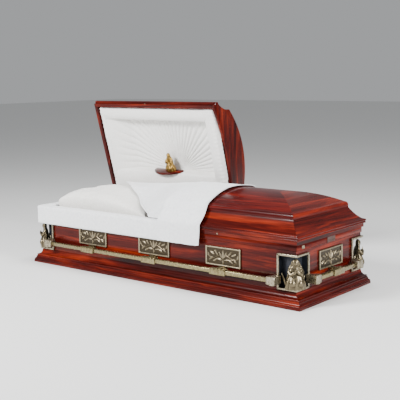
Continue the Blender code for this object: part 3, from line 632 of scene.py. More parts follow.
def lid_face() -> list[Pair]:
    """Outer face of the lid frame, in from the reeds' face: set-in band, two reeds and a shallow cove."""
    band_top = S.lid_z + S.lid_band
    small, large = S.lid_bead * 0.19, S.lid_bead * 0.27
    points = [(-S.lid_band_in - 0.001, S.lid_z), (-S.lid_band_in, S.lid_z + 0.001), (-S.lid_band_in, band_top - 0.002)]
    points += arc((-small - 0.001, band_top + small), (small, small), -80, 60, 9)
    points += arc((-large, S.bead_top - large - 0.002), (large, large), -50, 90, 9)
    points += [(-0.0145, S.bead_top - 0.001), (-0.015, S.bead_top)]
    low, seat = S.bead_top + 0.001, S.seat_z - 0.004
    for t in np.linspace(0, 1, 17):
        points.append((-0.018 - (S.crown_inset - 0.018) * t, low + (seat - low) * (t - 0.42 * t * (1 - t))))
    return points


def lid_profile() -> list[Pair]:
    """Whole lid frame section."""
    back = S.crown_inset + 0.026
    return lid_face() + [(-S.crown_inset - 0.001, S.seat_z), (-back, S.seat_z), (-back, S.seat_z - 0.030),
                         (-S.lid_member, S.lid_z + 0.036), (-S.lid_member, S.lid_z)]


def crown_profile() -> list[Pair]:
    """Crown shell section: in from the lip and height, out over the arch and back under it."""
    edge_top = S.lip_z + S.edge_rise
    points = [(0.0, S.seat_z + S.gap), (0.0, S.lip_z)]
    points += [(S.edge_run * (1 - math.cos(a)), S.lip_z + S.edge_rise * math.sin(a))
               for a in np.radians(np.linspace(15, 75, 5))]
    points += [(S.edge_run + (S.crown_y - S.edge_run) * t, edge_top + S.arch_rise * (1 - (1 - t) ** 2))
               for t in np.linspace(0, 1, 29)]
    span = S.crown_y - S.edge_run - S.shell
    points += [(S.edge_run + S.shell + span * t,
                edge_top - S.shell * 0.8 + (S.arch_rise - S.shell * 0.2) * (1 - (1 - t) ** 2))
               for t in np.linspace(1, 0, 15)]
    return points + [(S.shell + 0.004, S.lip_z), (S.shell, S.seat_z + S.gap)]


def mitred_run(name: str, profile: Sequence[Pair], start: Pair, end: Pair, outward: Pair,
               mitres: tuple[bool, bool] = (True, True), neighbour: Sequence[Pair] | None = None
               ) -> bpy.types.Object:
    """A moulding along one side, with mitred or square ends.

    Args:
        name: Name of the piece.
        profile: Section as (out, height).
        start: Corner of the reference rectangle where it starts.
        end: Corner where it ends.
        outward: Way out of the casket.
        mitres: Whether its start and its end are mitred.
        neighbour: The neighbours' section, point for point, where it stands out differently.

    Returns:
        The moulding.
    """
    first, last, out_way = Vector(start), Vector(end), Vector(outward)
    along = (last - first).normalized()
    rings = []
    for corner, mitred, sign in ((first, mitres[0], -1), (last, mitres[1], 1)):
        ring = []
        for (out, height), (past, _) in zip(profile, neighbour or profile):
            spot = corner + out_way * out - along * sign * S.gap
            if mitred:
                spot += along * sign * past
            ring.append((spot.x, spot.y, height))
        rings.append(ring)
    piece = loft(name, rings)
    smooth(piece, 30)
    return piece


@dataclass
class WoodenBody:
    """Floor, walls, rails and base moulding."""

    sizes: Sizes = S
    ease: float = 0.0012

    def build(self) -> None:
        """Build the base mouldings and finish the flat boards."""
        x, y = self.sizes.panel_x, self.sizes.panel_y
        sides = {
            "front": ((-x, -y), (x, -y), (0, -1), Grain.LENGTHWISE),
            "foot": ((x, -y), (x, y), (1, 0), Grain.CROSSWISE),
            "back": ((x, y), (-x, y), (0, 1), Grain.LENGTHWISE),
            "head": ((-x, y), (-x, -y), (-1, 0), Grain.CROSSWISE),
        }
        for side, (start, end, outward, grain) in sides.items():
            own, other = base_profile(self.sizes.panel_inset), base_profile(self.sizes.end_inset)
            if outward[0]:
                own, other = other, own
            base = mitred_run(f"base_moulding_{side}_finished", own, start, end, outward, neighbour=other)
            settle(base, WOOD[grain], Body.BODY, Slot.WOOD, [f"base_moulding_{side}"])
            rail = eased_copy(f"body_rail_{side}", self.ease)
            settle(rail, WOOD[grain], Body.BODY, Slot.WOOD, [f"body_rail_{side}"])
            self.finish_node(f"body_board_{side}", WOOD[grain])
        self.finish_node("floor_board", WOOD[Grain.LENGTHWISE])

    @staticmethod
    def finish_node(node: str, material: bpy.types.Material) -> None:
        """Give a solid of the frame its finish."""
        mesh = frame["nodes"][node].data
        mesh.materials.clear()
        mesh.materials.append(material)


@dataclass
class Lid:
    """Frame mouldings, crown and bulkhead of one lid."""

    prefix: str
    body: Body
    place: Matrix
    foot: bool
    sizes: Sizes = S

    def build(self) -> None:
        """Build every wooden piece of the lid."""
        s = self.sizes
        sign = 1 if self.foot else -1
        cut = s.foot_start if self.foot else s.head_end
        inner = cut + sign * (s.bulkhead + s.gap)
        end = sign * s.lid_x
        upright = Grain.CROSSWISE if self.foot else Grain.UPRIGHT
        runs = (("front", (inner, -s.lid_y), (end, -s.lid_y), (0, -1), (False, True), Grain.LENGTHWISE),
                ("end", (end, -s.lid_y), (end, s.lid_y), (sign, 0), (True, True), upright),
                ("back", (end, s.lid_y), (inner, s.lid_y), (0, 1), (True, False), Grain.LENGTHWISE))
        for side, start, stop, outward, mitres, grain in runs:
            node = f"{self.prefix}_lid_frame_{side}"
            piece = mitred_run(f"{node}_finished", lid_profile(), start, stop, outward, mitres)
            settle(piece, WOOD[grain], self.body, Slot.WOOD, [node], self.place)
        crown = self.crown(inner, sign * (s.lid_x - s.crown_inset), sign)
        crown.data.materials.append(CROWN_WOOD_PAINTED_SHADE)
        crown.data.materials.append(HIP_WOOD_PAINTED_LIGHT[upright])
        # Faces turned towards the ends take the lighter copy, painted light on the hipped end; the rest of the crown
        # keeps the darker copy, painted shade.
        for face in crown.data.polygons:
            face.material_index = int(abs(face.normal.x) > 1.2 * abs(face.normal.y) and abs(face.normal.x) > 0.05)
        settle(crown, CROWN_WOOD_PAINTED_SHADE, self.body, Slot.WOOD, [f"{self.prefix}_lid_crown"], self.place)
        board = eased_copy(f"{self.prefix}_lid_bulkhead", 0.0008)
        settle(board, WOOD[upright], self.body, Slot.WOOD, [f"{self.prefix}_lid_bulkhead"])

    def crown(self, cut: float, end: float, sign: int) -> bpy.types.Object:
        """The hollow hipped crown.

        Args:
            cut: Where its open end is.
            end: Where its hipped end is.
            sign: Way it runs along X.

        Returns:
            The crown.
        """
        s = self.sizes
        rings: list[list[Point]] = [[], [], [], []]
        for inward, height in crown_profile():
            y, x = max(s.crown_y - inward, 0.0), end - sign * inward
            for ring, spot in zip(rings, ((cut, -y), (x, -y), (x, y), (cut, y))):
                ring.append((*spot, height))
        crown = loft(f"{self.prefix}_lid_crown_finished", rings)
        only(crown)
        bpy.ops.object.mode_set(mode="EDIT")
        mesh = bmesh.from_edit_mesh(crown.data)
        inside = [f for f in mesh.faces if all(abs(v.co.y) < 1e-5 for v in f.verts)]
        bmesh.ops.delete(mesh, geom=inside, context="FACES_ONLY")
        bmesh.update_edit_mesh(crown.data)
        bpy.ops.mesh.select_all(action="SELECT")
        bpy.ops.mesh.normals_make_consistent(inside=False)
        bpy.ops.object.mode_set(mode="OBJECT")
        smooth(crown, 22)
        return crown


# Cast fittings

@dataclass
class Mourner:
    """A generic hooded figure, kneeling with joined hands, modelled facing -Y on the origin."""

    height: float
    width: float
    grain: float = 0.0016
    folds: int = 9
    flat: float = 1.0

    SHARES = ((0.00, 0.46, 0.34, 0.00), (0.05, 0.47, 0.36, 0.00), (0.10, 0.46, 0.36, 0.01), (0.18, 0.45, 0.36, 0.02),
              (0.26, 0.42, 0.34, 0.03), (0.33, 0.37, 0.31, 0.03), (0.40, 0.33, 0.27, 0.02), (0.48, 0.305, 0.235, 0.00),
              (0.55, 0.30, 0.21, -0.02), (0.62, 0.30, 0.20, -0.02), (0.68, 0.29, 0.18, -0.02),
              (0.72, 0.25, 0.165, -0.01), (0.75, 0.19, 0.15, 0.00), (0.78, 0.165, 0.15, 0.01),
              (0.84, 0.17, 0.16, 0.02), (0.90, 0.165, 0.165, 0.025), (0.95, 0.13, 0.135, 0.02),
              (0.98, 0.085, 0.09, 0.015), (1.00, 0.03, 0.03, 0.01))

    def robe(self) -> bpy.types.Object:
        """Robe and hood as one draped loft."""
        rings = []
        for share, half, depth, lean in self.SHARES:
            ring = []
            for i in range(64):
                a = 2 * math.pi * i / 64
                drape = max(0.0, 1 - share * 1.25)
                fold = 1 + drape * (0.06 * math.cos(self.folds * a + 3 * share) + 0.03 * math.cos(17 * a - 5 * share))
                if share > 0.76:
                    fold -= 0.16 * math.exp(-(((a + math.pi) % (2 * math.pi) - math.pi) / 0.55) ** 2)
                ring.append((self.width * half * math.sin(a) * fold,
                             -self.height * lean - self.width * depth * math.cos(a) * fold, self.height * share))
            rings.append(ring)
        return loft("robe", rings)

    def ball(self, spot: Point, radii: Point) -> bpy.types.Object:
        """A rounded form at a place given in shares of width, width and height."""
        all_off()
        place = (spot[0] * self.width, spot[1] * self.width, spot[2] * self.height)
        bpy.ops.mesh.primitive_uv_sphere_add(segments=20, ring_count=12, radius=1.0, location=place,
                                             scale=tuple(r * self.width for r in radii))
        bpy.ops.object.transform_apply(location=True, rotation=True, scale=True)
        return bpy.context.object

    def limb(self, spots: Sequence[Point], radii: Sequence[float]) -> bpy.types.Object:
        """A tapered limb through places given in shares."""
        centres = [Vector((x * self.width, y * self.width, z * self.height)) for x, y, z in spots]
        rings = []
        for i, (centre, radius) in enumerate(zip(centres, radii)):
            way = (centres[min(i + 1, len(centres) - 1)] - centres[max(i - 1, 0)]).normalized()
            side = way.cross(Vector((0.3, 0.2, 1.0))).normalized()
            up = side.cross(way)
            rings.append([tuple(centre + (side * math.cos(a) + up * math.sin(a)) * radius * self.width)
                          for a in np.radians(np.arange(0, 360, 30))])
        return loft("limb", rings)

    def build(self, name: str) -> bpy.types.Object:
        """Join the forms into one cast skin.

        Args:
            name: Name of the figure.

        Returns:
            The figure as one closed body.
        """
        parts = [self.robe()]
        parts.append(self.ball((0.0, -0.155, 0.855), (0.085, 0.055, 0.115)))
        parts.append(self.ball((0.0, -0.212, 0.845), (0.014, 0.014, 0.028)))
        for side in (-1, 1):
            parts.append(self.limb(((side * 0.24, 0.02, 0.69), (side * 0.30, -0.10, 0.57), (side * 0.24, -0.25, 0.50),
                                    (side * 0.10, -0.34, 0.57), (side * 0.03, -0.35, 0.63)),
                                   (0.075, 0.095, 0.095, 0.075, 0.045)))
            parts.append(self.limb(((side * 0.035, -0.34, 0.60), (side * 0.018, -0.34, 0.68),
                                    (side * 0.008, -0.33, 0.74)), (0.032, 0.026, 0.010)))
            parts.append(self.ball((side * 0.17, -0.22, 0.20), (0.17, 0.20, 0.20)))
            parts.append(self.limb(((side * 0.16, -0.02, 0.90), (side * 0.20, 0.0, 0.78), (side * 0.28, 0.02, 0.70),
                                    (side * 0.33, 0.02, 0.55)), (0.030, 0.035, 0.040, 0.030)))
        figure = joined(name, parts)
        modify(figure, "REMESH", mode="VOXEL", voxel_size=self.grain)
        modify(figure, "SMOOTH", factor=0.5, iterations=2)
        figure.data.transform(Matrix.Diagonal((1.0, self.flat, 1.0, 1.0)))
        smooth(figure, 60)
        return figure


@dataclass
class LilySpray:
    """A generic spray of pointed leaves and buds, standing on the origin."""

    height: float = 0.085
    spread: float = 0.030
    leaves: int = 7
    grain: float = 0.0015

    def build(self, name: str) -> bpy.types.Object:
        """Join leaves and buds into one cast skin."""
        parts = []
        for i in range(self.leaves):
            turn = math.pi * (i + 0.5) / self.leaves
            tall = self.height * (0.62 + 0.38 * math.sin(turn * 2.0 + 0.6) ** 2)
            reach = self.spread * math.cos(turn)
            lean = -0.010 * math.sin(turn * 3)
            centres = [Vector((reach * s ** 1.4, lean * s, tall * s)) for s in (0, 0.3, 0.6, 0.85, 1)]
            rings = []
            for centre, radius in zip(centres, (0.0045, 0.0062, 0.0070, 0.0048, 0.0012)):
                rings.append([(centre.x + radius * math.cos(a), centre.y + radius * 0.6 * math.sin(a), centre.z)
                              for a in np.radians(np.arange(0, 360, 36))])
            parts.append(loft("leaf", rings))
        spray = joined(name, parts)
        modify(spray, "REMESH", mode="VOXEL", voxel_size=self.grain)
        modify(spray, "SMOOTH", factor=0.5, iterations=2)
        smooth(spray, 60)
        return spray


@dataclass
class CornerCasting:
    """Bordered recess round the corner with a kneeling figure and two bar sockets."""

    height: float = 0.200
    leg: float = 0.118
    plate: float = 0.005
    border: float = 0.012
    proud: float = 0.007
    recess: float = 0.030
    wall: float = 0.004
    figure_height: float = 0.168
    figure_width: float = 0.118
    figure_out: float = -0.018
    figure_flat: float = 0.78
    spray_spot: Pair = (-0.072, -0.013)
    bar_z: float = 0.147
    bar_out: float = 0.047
    socket_inner: float = 0.152
    socket_outer: float = 0.094
    socket_side: float = 0.044
    socket_flare: float = 0.050

    @property
    def sill(self) -> float:
        """Lower edge of the opening."""
        return S.base_height + S.gap + self.border

    @property
    def lintel(self) -> float:
        """Upper edge of the opening."""
        return S.base_height + S.gap + self.height - self.border

    def band(self, back: float, out: float, reach: float, low: float, high: float, ease: float) -> bpy.types.Object:
        """An L-shaped bar round the corner with eased edges.

        Args:
            back: Its inner face, out from the panels.
            out: Its outer face, out from the panels.
            reach: Length of each leg.
            low: Underside.
            high: Top.
            ease: Width of the eased edges.

        Returns:
            The bar, for the foot end's back corner.
        """
        plan = [(out, out), (-reach, out), (-reach, back), (back, back), (back, -reach), (out, -reach)]
        piece = loft("band", [[(x, y, z) for x, y in plan] for z in (low, high)])
        modify(piece, "BEVEL", width=ease, segments=3, limit_method="ANGLE")
        return piece

    def upright(self, along_x: bool, low: float, high: float) -> bpy.types.Object:
        """The upright border at the end of one leg."""
        near, far, out = -(self.leg - self.border), -self.leg, self.plate + self.proud
        plan = [(far, S.gap * 2), (near, S.gap * 2), (near, out), (far, out)]
        if not along_x:
            plan = [(y, x) for x, y in plan]
        piece = loft("upright", [[(x, y, z) for x, y in plan] for z in (low, high)])
        modify(piece, "BEVEL", width=0.0022, segments=3, limit_method="ANGLE")
        return piece

    def end_wall(self, along_x: bool) -> bpy.types.Object:
        """The recess's wall at the end of one leg."""
        near, far = -(self.leg - self.border) - 0.0002, -(self.leg - self.border + self.wall)
        plan = [(far, -self.recess - self.plate), (near, -self.recess - self.plate), (near, 0.004), (far, 0.004)]
        if not along_x:
            plan = [(y, x) for x, y in plan]
        heights = (self.sill - self.wall, self.lintel + self.wall)
        return loft("end_wall", [[(x, y, z) for x, y in plan] for z in heights])

    def socket(self, on_long: bool) -> bpy.types.Object:
        """The squared block that takes one bar's end."""
        steps = ((self.socket_inner, self.socket_side - 0.004), (self.socket_inner - 0.003, self.socket_side),
                 (self.socket_inner - 0.022, self.socket_side), (self.socket_inner - 0.025, self.socket_flare),
                 (self.socket_outer + 0.014, self.socket_flare), (self.socket_outer, self.socket_flare - 0.004))
        rings = []
        for back, side in steps:
            outer = self.bar_out + side / 2
            inner = self.plate * 0.5 if back < self.leg else self.bar_out - side / 2
            ring = [(inner, self.bar_z - side / 2), (outer, self.bar_z - side / 2),
                    (outer, self.bar_z + side / 2), (inner, self.bar_z + side / 2)]
            rings.append([(-back, out, z) if on_long else (out, -back, z) for out, z in ring])
        piece = loft("socket", rings)
        modify(piece, "BEVEL", width=0.0016, segments=1, limit_method="ANGLE", angle_limit=math.radians(50))
        return piece

    def seated(self, piece: bpy.types.Object, spot: Point, degrees: float) -> bpy.types.Object:
        """Stand a cast form in the recess and cut away what would go through its back wall.

        Args:
            piece: The form, modelled on the origin.
            spot: Where it stands.
            degrees: Its turn about Z.

        Returns:
            The same piece.
        """
        piece.data.transform(Matrix.Translation(spot) @ Matrix.Rotation(math.radians(degrees), 4, "Z"))
        behind = -self.recess - self.plate / 2
        all_off()
        bpy.ops.mesh.primitive_cube_add(size=0.3, location=(behind - 0.15, behind - 0.15, 0.2))
        wood = bpy.context.object
        modify(piece, "BOOLEAN", operation="DIFFERENCE", object=wood, solver="EXACT")
        bpy.data.objects.remove(wood, do_unlink=True)
        return piece

    def build(self) -> None:
        """Build one casting and copy it, mirrored, to the four corners."""
        low, high = S.base_height + S.gap, S.base_height + S.gap + self.height
        out, deep = self.plate + self.proud, self.recess + self.plate
        reach = self.leg - self.border + self.wall
        dark = [self.band(-deep, -self.recess, reach, self.sill - self.wall, self.lintel + self.wall, 0.0004),
                self.band(-deep, 0.004, reach, self.sill - self.wall, self.sill - 0.0002, 0.0004),
                self.band(-deep, 0.004, reach, self.lintel + 0.0002, self.lintel + self.wall, 0.0004),
                self.end_wall(True), self.end_wall(False)]
        border = [self.band(S.gap * 2, out, self.leg, self.lintel, high, 0.0025),
                  self.band(S.gap * 2, out, self.leg, low, self.sill, 0.0025),
                  self.upright(True, low + 0.002, high - 0.002), self.upright(False, low + 0.002, high - 0.002)]
        plain = [self.socket(True), self.socket(False), *border]
        corner, foot = self.figure_out * math.sqrt(0.5), self.sill - 0.002
        figure = Mourner(self.figure_height, self.figure_width, flat=self.figure_flat).build("corner_figure")
        cast = [self.seated(figure, (corner, corner, foot), 135.0)]
        aside, forward = self.spray_spot
        for spot, degrees in (((aside, forward, foot), 180.0), ((forward, aside, foot), 90.0)):
            cast.append(self.seated(LilySpray().build("lilies"), spot, degrees))
        for pieces, finish in ((dark, PATINA), (plain, BORDER), (cast, ANTIQUE)):
            for piece in pieces:
                piece.data.materials.clear()
                piece.data.materials.append(finish)
        casting = joined("casting", [*dark, *plain, *cast])
        smooth(casting, 40)
        for end, sx in (("head", -1), ("foot", 1)):
            for side_name, sy in (("front", -1), ("back", 1)):
                name = f"corner_casting_{end}_{side_name}"
                mesh = casting.data.copy()
                place = Matrix.Translation((sx * S.panel_x, sy * S.panel_y, 0))
                mesh.transform(place @ Matrix.Diagonal((sx, sy, 1, 1)))
                if sx * sy < 0:
                    mesh.flip_normals()
                settle(linked(f"{name}_finished", mesh), ANTIQUE, Body.BODY, Slot.METAL, [name])
        bpy.data.objects.remove(casting, do_unlink=True)


@dataclass
class Plaques:
    """Bordered plaques with a lily-leaf scroll in low relief, on all four sides."""

    width: float = 0.250
    height: float = 0.112
    bottom: float = 0.168
    plate: float = 0.006
    frame_width: float = 0.011
    frame_proud: float = 0.005
    relief: float = 0.005
    pitch: float = 0.530
    shift: float = 0.004

    def leaves(self) -> list[tuple[float, float, float, float, float]]:
        """Leaves as x, z, angle, length and width, from the plaque's middle."""
        found = [(0.0, 0.012, 90.0, 0.056, 0.017), (0.0, -0.030, 90.0, 0.030, 0.012)]
        for side in (-1, 1):
            for x, z, angle, length, width in ((0.016, 0.010, 62, 0.046, 0.013), (0.026, -0.016, 12, 0.040, 0.013),
                                               (0.048, 0.020, 48, 0.036, 0.013), (0.055, -0.022, -28, 0.036, 0.013),
                                               (0.076, 0.016, 22, 0.038, 0.014), (0.086, -0.016, -40, 0.036, 0.013),
                                               (0.104, 0.006, 70, 0.032, 0.011)):
                found.append((side * x, z, 90 - side * (90 - angle), length, width))
        return found

    def rise(self, x: float, z: float) -> float:
        """Height of the face above the panel at a place on the plaque."""
        edge = min(self.width / 2 - abs(x), self.height / 2 - abs(z))
        if edge < self.frame_width:
            t = edge / self.frame_width
            return self.plate + self.frame_proud * min(1.0, 4 * t, 3.2 * (1 - t)) ** 0.6
        field = self.plate - 0.002
        stem_z = 0.010 * math.sin(abs(x) * 62.0) - 0.004
        best = 0.55 * math.exp(-((z - stem_z) / 0.0022) ** 2)
        for lx, lz, angle, length, width in self.leaves():
            turn = math.radians(angle)
            u = (x - lx) * math.cos(turn) + (z - lz) * math.sin(turn)
            v = -(x - lx) * math.sin(turn) + (z - lz) * math.cos(turn)
            reach = 1 - (2 * u / length) ** 2
            if reach > 0:
                across = abs(v) / (width / 2 * reach ** 0.8 + 1e-6)
                if across < 1:
                    best = max(best, (1 - across ** 2) ** 0.5 - 0.35 * math.exp(-(v / 0.0009) ** 2))
        grit = 0.05 * noise.noise(Vector((x * 420, z * 420, 0.0)))
        return field + self.relief * max(best, grit)

    def build(self) -> None:
        """Build one plaque and copy it to its places."""
        middle = self.bottom + self.height / 2

        def face(s: float, t: float) -> Point:
            """A point of the relief."""
            x, z = (s - 0.5) * self.width, (t - 0.5) * self.height
            return x, -self.rise(x, z), middle + z

        plaque = sheet_grid("plaque", 150, 68, face)
        back_up(plaque, lambda spot: Vector((spot.x, -S.gap * 2, spot.z)))
        height = plaque.data.attributes.new("relief", "FLOAT", "POINT")
        for vert, value in zip(plaque.data.vertices, height.data):
            value.value = max(0.0, min(1.0, (-vert.co.y - 0.0035) / 0.0060))
        smooth(plaque, 60)
        fronts = [self.shift + self.pitch * i for i in (-1, 0, 1)]
        places = {"front": fronts, "back": [-along for along in fronts], "foot": [0.0], "head": [0.0]}
        turns = {"front": 0, "foot": 90, "back": 180, "head": 270}
        for side, alongs in places.items():
            for i, along in enumerate(alongs):
                label = f"{side}_{i + 1}" if len(alongs) > 1 else side
                out = S.panel_y if side in ("front", "back") else S.panel_x
                place = Matrix.Rotation(math.radians(turns[side]), 4, "Z") @ Matrix.Translation((along, -out, 0))
                piece = linked(f"plaque_{label}_finished", plaque.data.copy())
                settle(piece, RELIEF, Body.BODY, Slot.METAL, [f"plaque_{label}"], place)
                arm = eased_copy(f"bar_arm_{label}", 0.0012)
                settle(arm, PLATED, Body.BODY, Slot.METAL, [f"bar_arm_{label}"])
        bpy.data.objects.remove(plaque, do_unlink=True)


@dataclass
class Bars:
    """The square carrying bars and the hinge leaves."""

    ease: float = 0.001

    def build(self) -> None:
        """Finish the bars and hinges."""
        for side in ("front", "foot", "back", "head"):
            settle(eased_copy(f"bar_{side}", self.ease), PLATED, Body.BODY, Slot.METAL, [f"bar_{side}"])
        for node in ("head_hinge_body_leaf", "head_hinge_lid_leaf", "foot_hinge_body_leaf", "foot_hinge_lid_leaf"):
            WoodenBody.finish_node(node, PLATED)


@dataclass
class SmallTrim:
    """Bare end plate, bare lock escutcheon and the buttons on the lid bands."""

    plate: Pair = (0.085, 0.030)
    lock: Pair = (0.024, 0.018)
    lock_inset: float = 0.058
    thickness: float = 0.0035
    standoff: float = 0.002
    button_r: float = 0.0045
    button_z: float = 0.011
    head_button_x: float = -0.55
    foot_button_x: float = 0.50

    def tablet(self, name: str, centre: Point, size: Pair, thickness: float) -> bpy.types.Object:
        """A bare tablet on the foot end, with eased edges and a sunk field.

        Args:
            name: Name of the piece.
            centre: Its middle.
            size: Width and height.
            thickness: How thick it is.

        Returns:
            The tablet.
        """
        all_off()
        bpy.ops.mesh.primitive_cube_add(size=1.0, location=centre, scale=(thickness, size[0], size[1]))
        piece = bpy.context.object
        piece.name = name
        bpy.ops.object.transform_apply(location=True, rotation=True, scale=True)
        bpy.ops.object.mode_set(mode="EDIT")
        mesh = bmesh.from_edit_mesh(piece.data)
        for face in mesh.faces:
            face.select = face.normal.x > 0.9
        bmesh.update_edit_mesh(piece.data)
        bpy.ops.mesh.inset(thickness=min(size) * 0.14)
        bpy.ops.transform.translate(value=(-thickness * 0.3, 0, 0))
        bpy.ops.object.mode_set(mode="OBJECT")
        modify(piece, "BEVEL", width=thickness * 0.25, segments=2, limit_method="ANGLE")
        smooth(piece, 40)
        return piece

    def build(self) -> None:
        """Build the trim."""
        rail_x = S.panel_x + S.rim_proud
        rail_z = S.split_z - S.rim_height / 2
        for name, y, size, finish in (("end_plate", 0.0, self.plate, TABLET),
                                      ("lock_escutcheon", -S.panel_y + self.lock_inset, self.lock, BORDER)):
            tablet = self.tablet(name, (rail_x + self.standoff, y, rail_z), size, self.thickness)
            settle(tablet, finish, Body.BODY, Slot.METAL)
        spots = (("head_lid_button", self.head_button_x, Body.HEAD_LID, OPENED),
                 ("foot_lid_button", self.foot_button_x, Body.FOOT_LID, CLOSED))
        for name, x, body, place in spots:
            all_off()
            bpy.ops.mesh.primitive_cylinder_add(vertices=24, radius=self.button_r, depth=0.003,
                                                location=(x, -S.lid_y + S.lid_band_in - 0.0012,
                                                          S.lid_z + self.button_z),
                                                rotation=(math.radians(90), 0, 0))
            bpy.ops.object.transform_apply(location=True, rotation=True, scale=True)
            button = bpy.context.object
            button.name = name
            modify(button, "BEVEL", width=0.001, segments=3, limit_method="ANGLE")
            smooth(button, 40)
            settle(button, BORDER, body, Slot.METAL, (), place)


# Lid furniture

@dataclass
class ShelfAndStatuette:
    """The half-oval shelf in the head lid and the gilt kneeling figure on it."""

    x: float = -0.488
    u: float = 0.240
    depth: float = 0.085
    thickness: float = 0.014
    floor: float = 0.064
    height: float = 0.130
    width: float = 0.082
    aside: float = 0.040

    def build(self) -> None:
        """Finish the shelf and cast the figure."""
        shelf = eased_copy("lid_shelf", 0.0015)
        settle(shelf, WOOD[Grain.LENGTHWISE], Body.HEAD_LID, Slot.WOOD, ["lid_shelf"])
        figure = Mourner(self.height, self.width, grain=0.0013).build("statuette_finished")
        foot = Vector((self.x + self.aside, HINGE.y - self.u - self.thickness / 2 - S.gap,
                       S.lid_z + self.floor - self.depth * 0.36))
        stand = Matrix.Translation(foot) @ Matrix.Rotation(math.radians(90), 4, "X")
        settle(figure, GILT, Body.HEAD_LID, Slot.GILT, ["lid_statuette"], OPENED @ stand)


# Soft parts

INFLATE_STEPS = 16
SWELL_LIMIT = 0.020


def wrinkle(spot: Point, scale: float, amount: float) -> float:
    """A smooth small unevenness at a place."""
    return amount * noise.noise(Vector(spot) * scale)


def bulge(t: float, power: float = 2.0) -> float:
    """0 at both ends of 0 to 1 and 1 in the middle."""
    return 1 - abs(2 * t - 1) ** power


@dataclass
class LidLining:
    """Padded border round a recessed panel, pleated in a sunburst."""

    prefix: str
    body: Body
    place: Matrix
    low_x: float
    high_x: float
    rays: int = 60
    centre: Pair = (-0.405, 0.235)
    head_border: float = 0.045
    head_slope: float = 0.175
    border: float = 0.092
    hinge_border: float = 0.195
    slope: float = 0.012
    recess: float = 0.066
    mouth: float = 0.006
    puff: float = 0.016

    def depth(self, x: float, u: float, top: float) -> float:
        """How far the cloth stands up from the lid's mouth at a place.

        Args:
            x: Place along the casket.
            u: Distance from the hinge line.
            top: Distance of the far edge from the hinge line.

        Returns:
            The height in the lid.
        """
        foot = u - (HINGE.y - top_y())
        sides = ((x - self.low_x, self.head_border, self.head_slope), (self.high_x - x, self.border, self.slope),
                 (top - u, self.border, self.slope), (foot, self.hinge_border, self.slope))
        edge, fall, roll = 1.0, 1.0, 0.0
        for distance, border, slope in sides:
            edge = min(edge, distance)
            t = max(0.0, min(1.0, (distance - border) / slope))
            fall = min(fall, t * t * (3 - 2 * t) if slope < 0.1 else t ** 1.3)
            if distance < border:
                roll = max(roll, bulge(max(distance, 0.0) / border, 2.6))
        crease = 0.020 * (1 - min(1.0, edge / 0.012))
        along = x if edge in (sides[2][0], sides[3][0]) else u
        gather = 0.0016 * math.cos(along * 230.0) * (1 - min(1.0, edge / 0.05))
        dx, du = x - self.centre[0], u - self.centre[1]
        reach = math.hypot(dx, du)
        pleat = abs(math.sin(math.atan2(du, dx) * self.rays / 2)) ** 0.8 if self.rays else 0.0
        rays = 0.0100 * pleat * min(1.0, reach / 0.12) * fall
        return self.mouth + self.puff * (1 - roll * (1 - fall)) + self.recess * fall - rays + crease + gather

    def build(self) -> None:
        """Build the lining as one slab."""
        top = HINGE.y + top_y()
        bottom = HINGE.y - top_y()

        def face(s: float, t: float) -> Point:
            """A point of the cloth, in the closed lid's place."""
            x = self.low_x + (self.high_x - self.low_x) * s
            u = bottom + (top - bottom) * t
            v = self.depth(x, u, top) + wrinkle((x, u, 0.0), 9.0, 0.0025) + wrinkle((x, u, 0.5), 34.0, 0.0008)
            return x, HINGE.y - u, S.lid_z + max(v, 0.002)

        lining = sheet_grid(f"{self.prefix}_lid_lining_finished", 300, 190, face)
        slope = 0.80

        def behind(spot: Vector) -> Vector:
            """A rim point moved back under the crown."""
            middle = (self.low_x + self.high_x) / 2
            return Vector((middle + (spot.x - middle) * 0.90, spot.y * slope, S.lid_z + 0.092))

        back_up(lining, behind)
        smooth(lining, 60)
        settle(lining, CREPE, self.body, Slot.LINING, [f"{self.prefix}_lid_lining"], self.place)


def top_y() -> float:
    """Half width of a lid's lining."""
    return S.lid_y - S.lid_member - 0.003


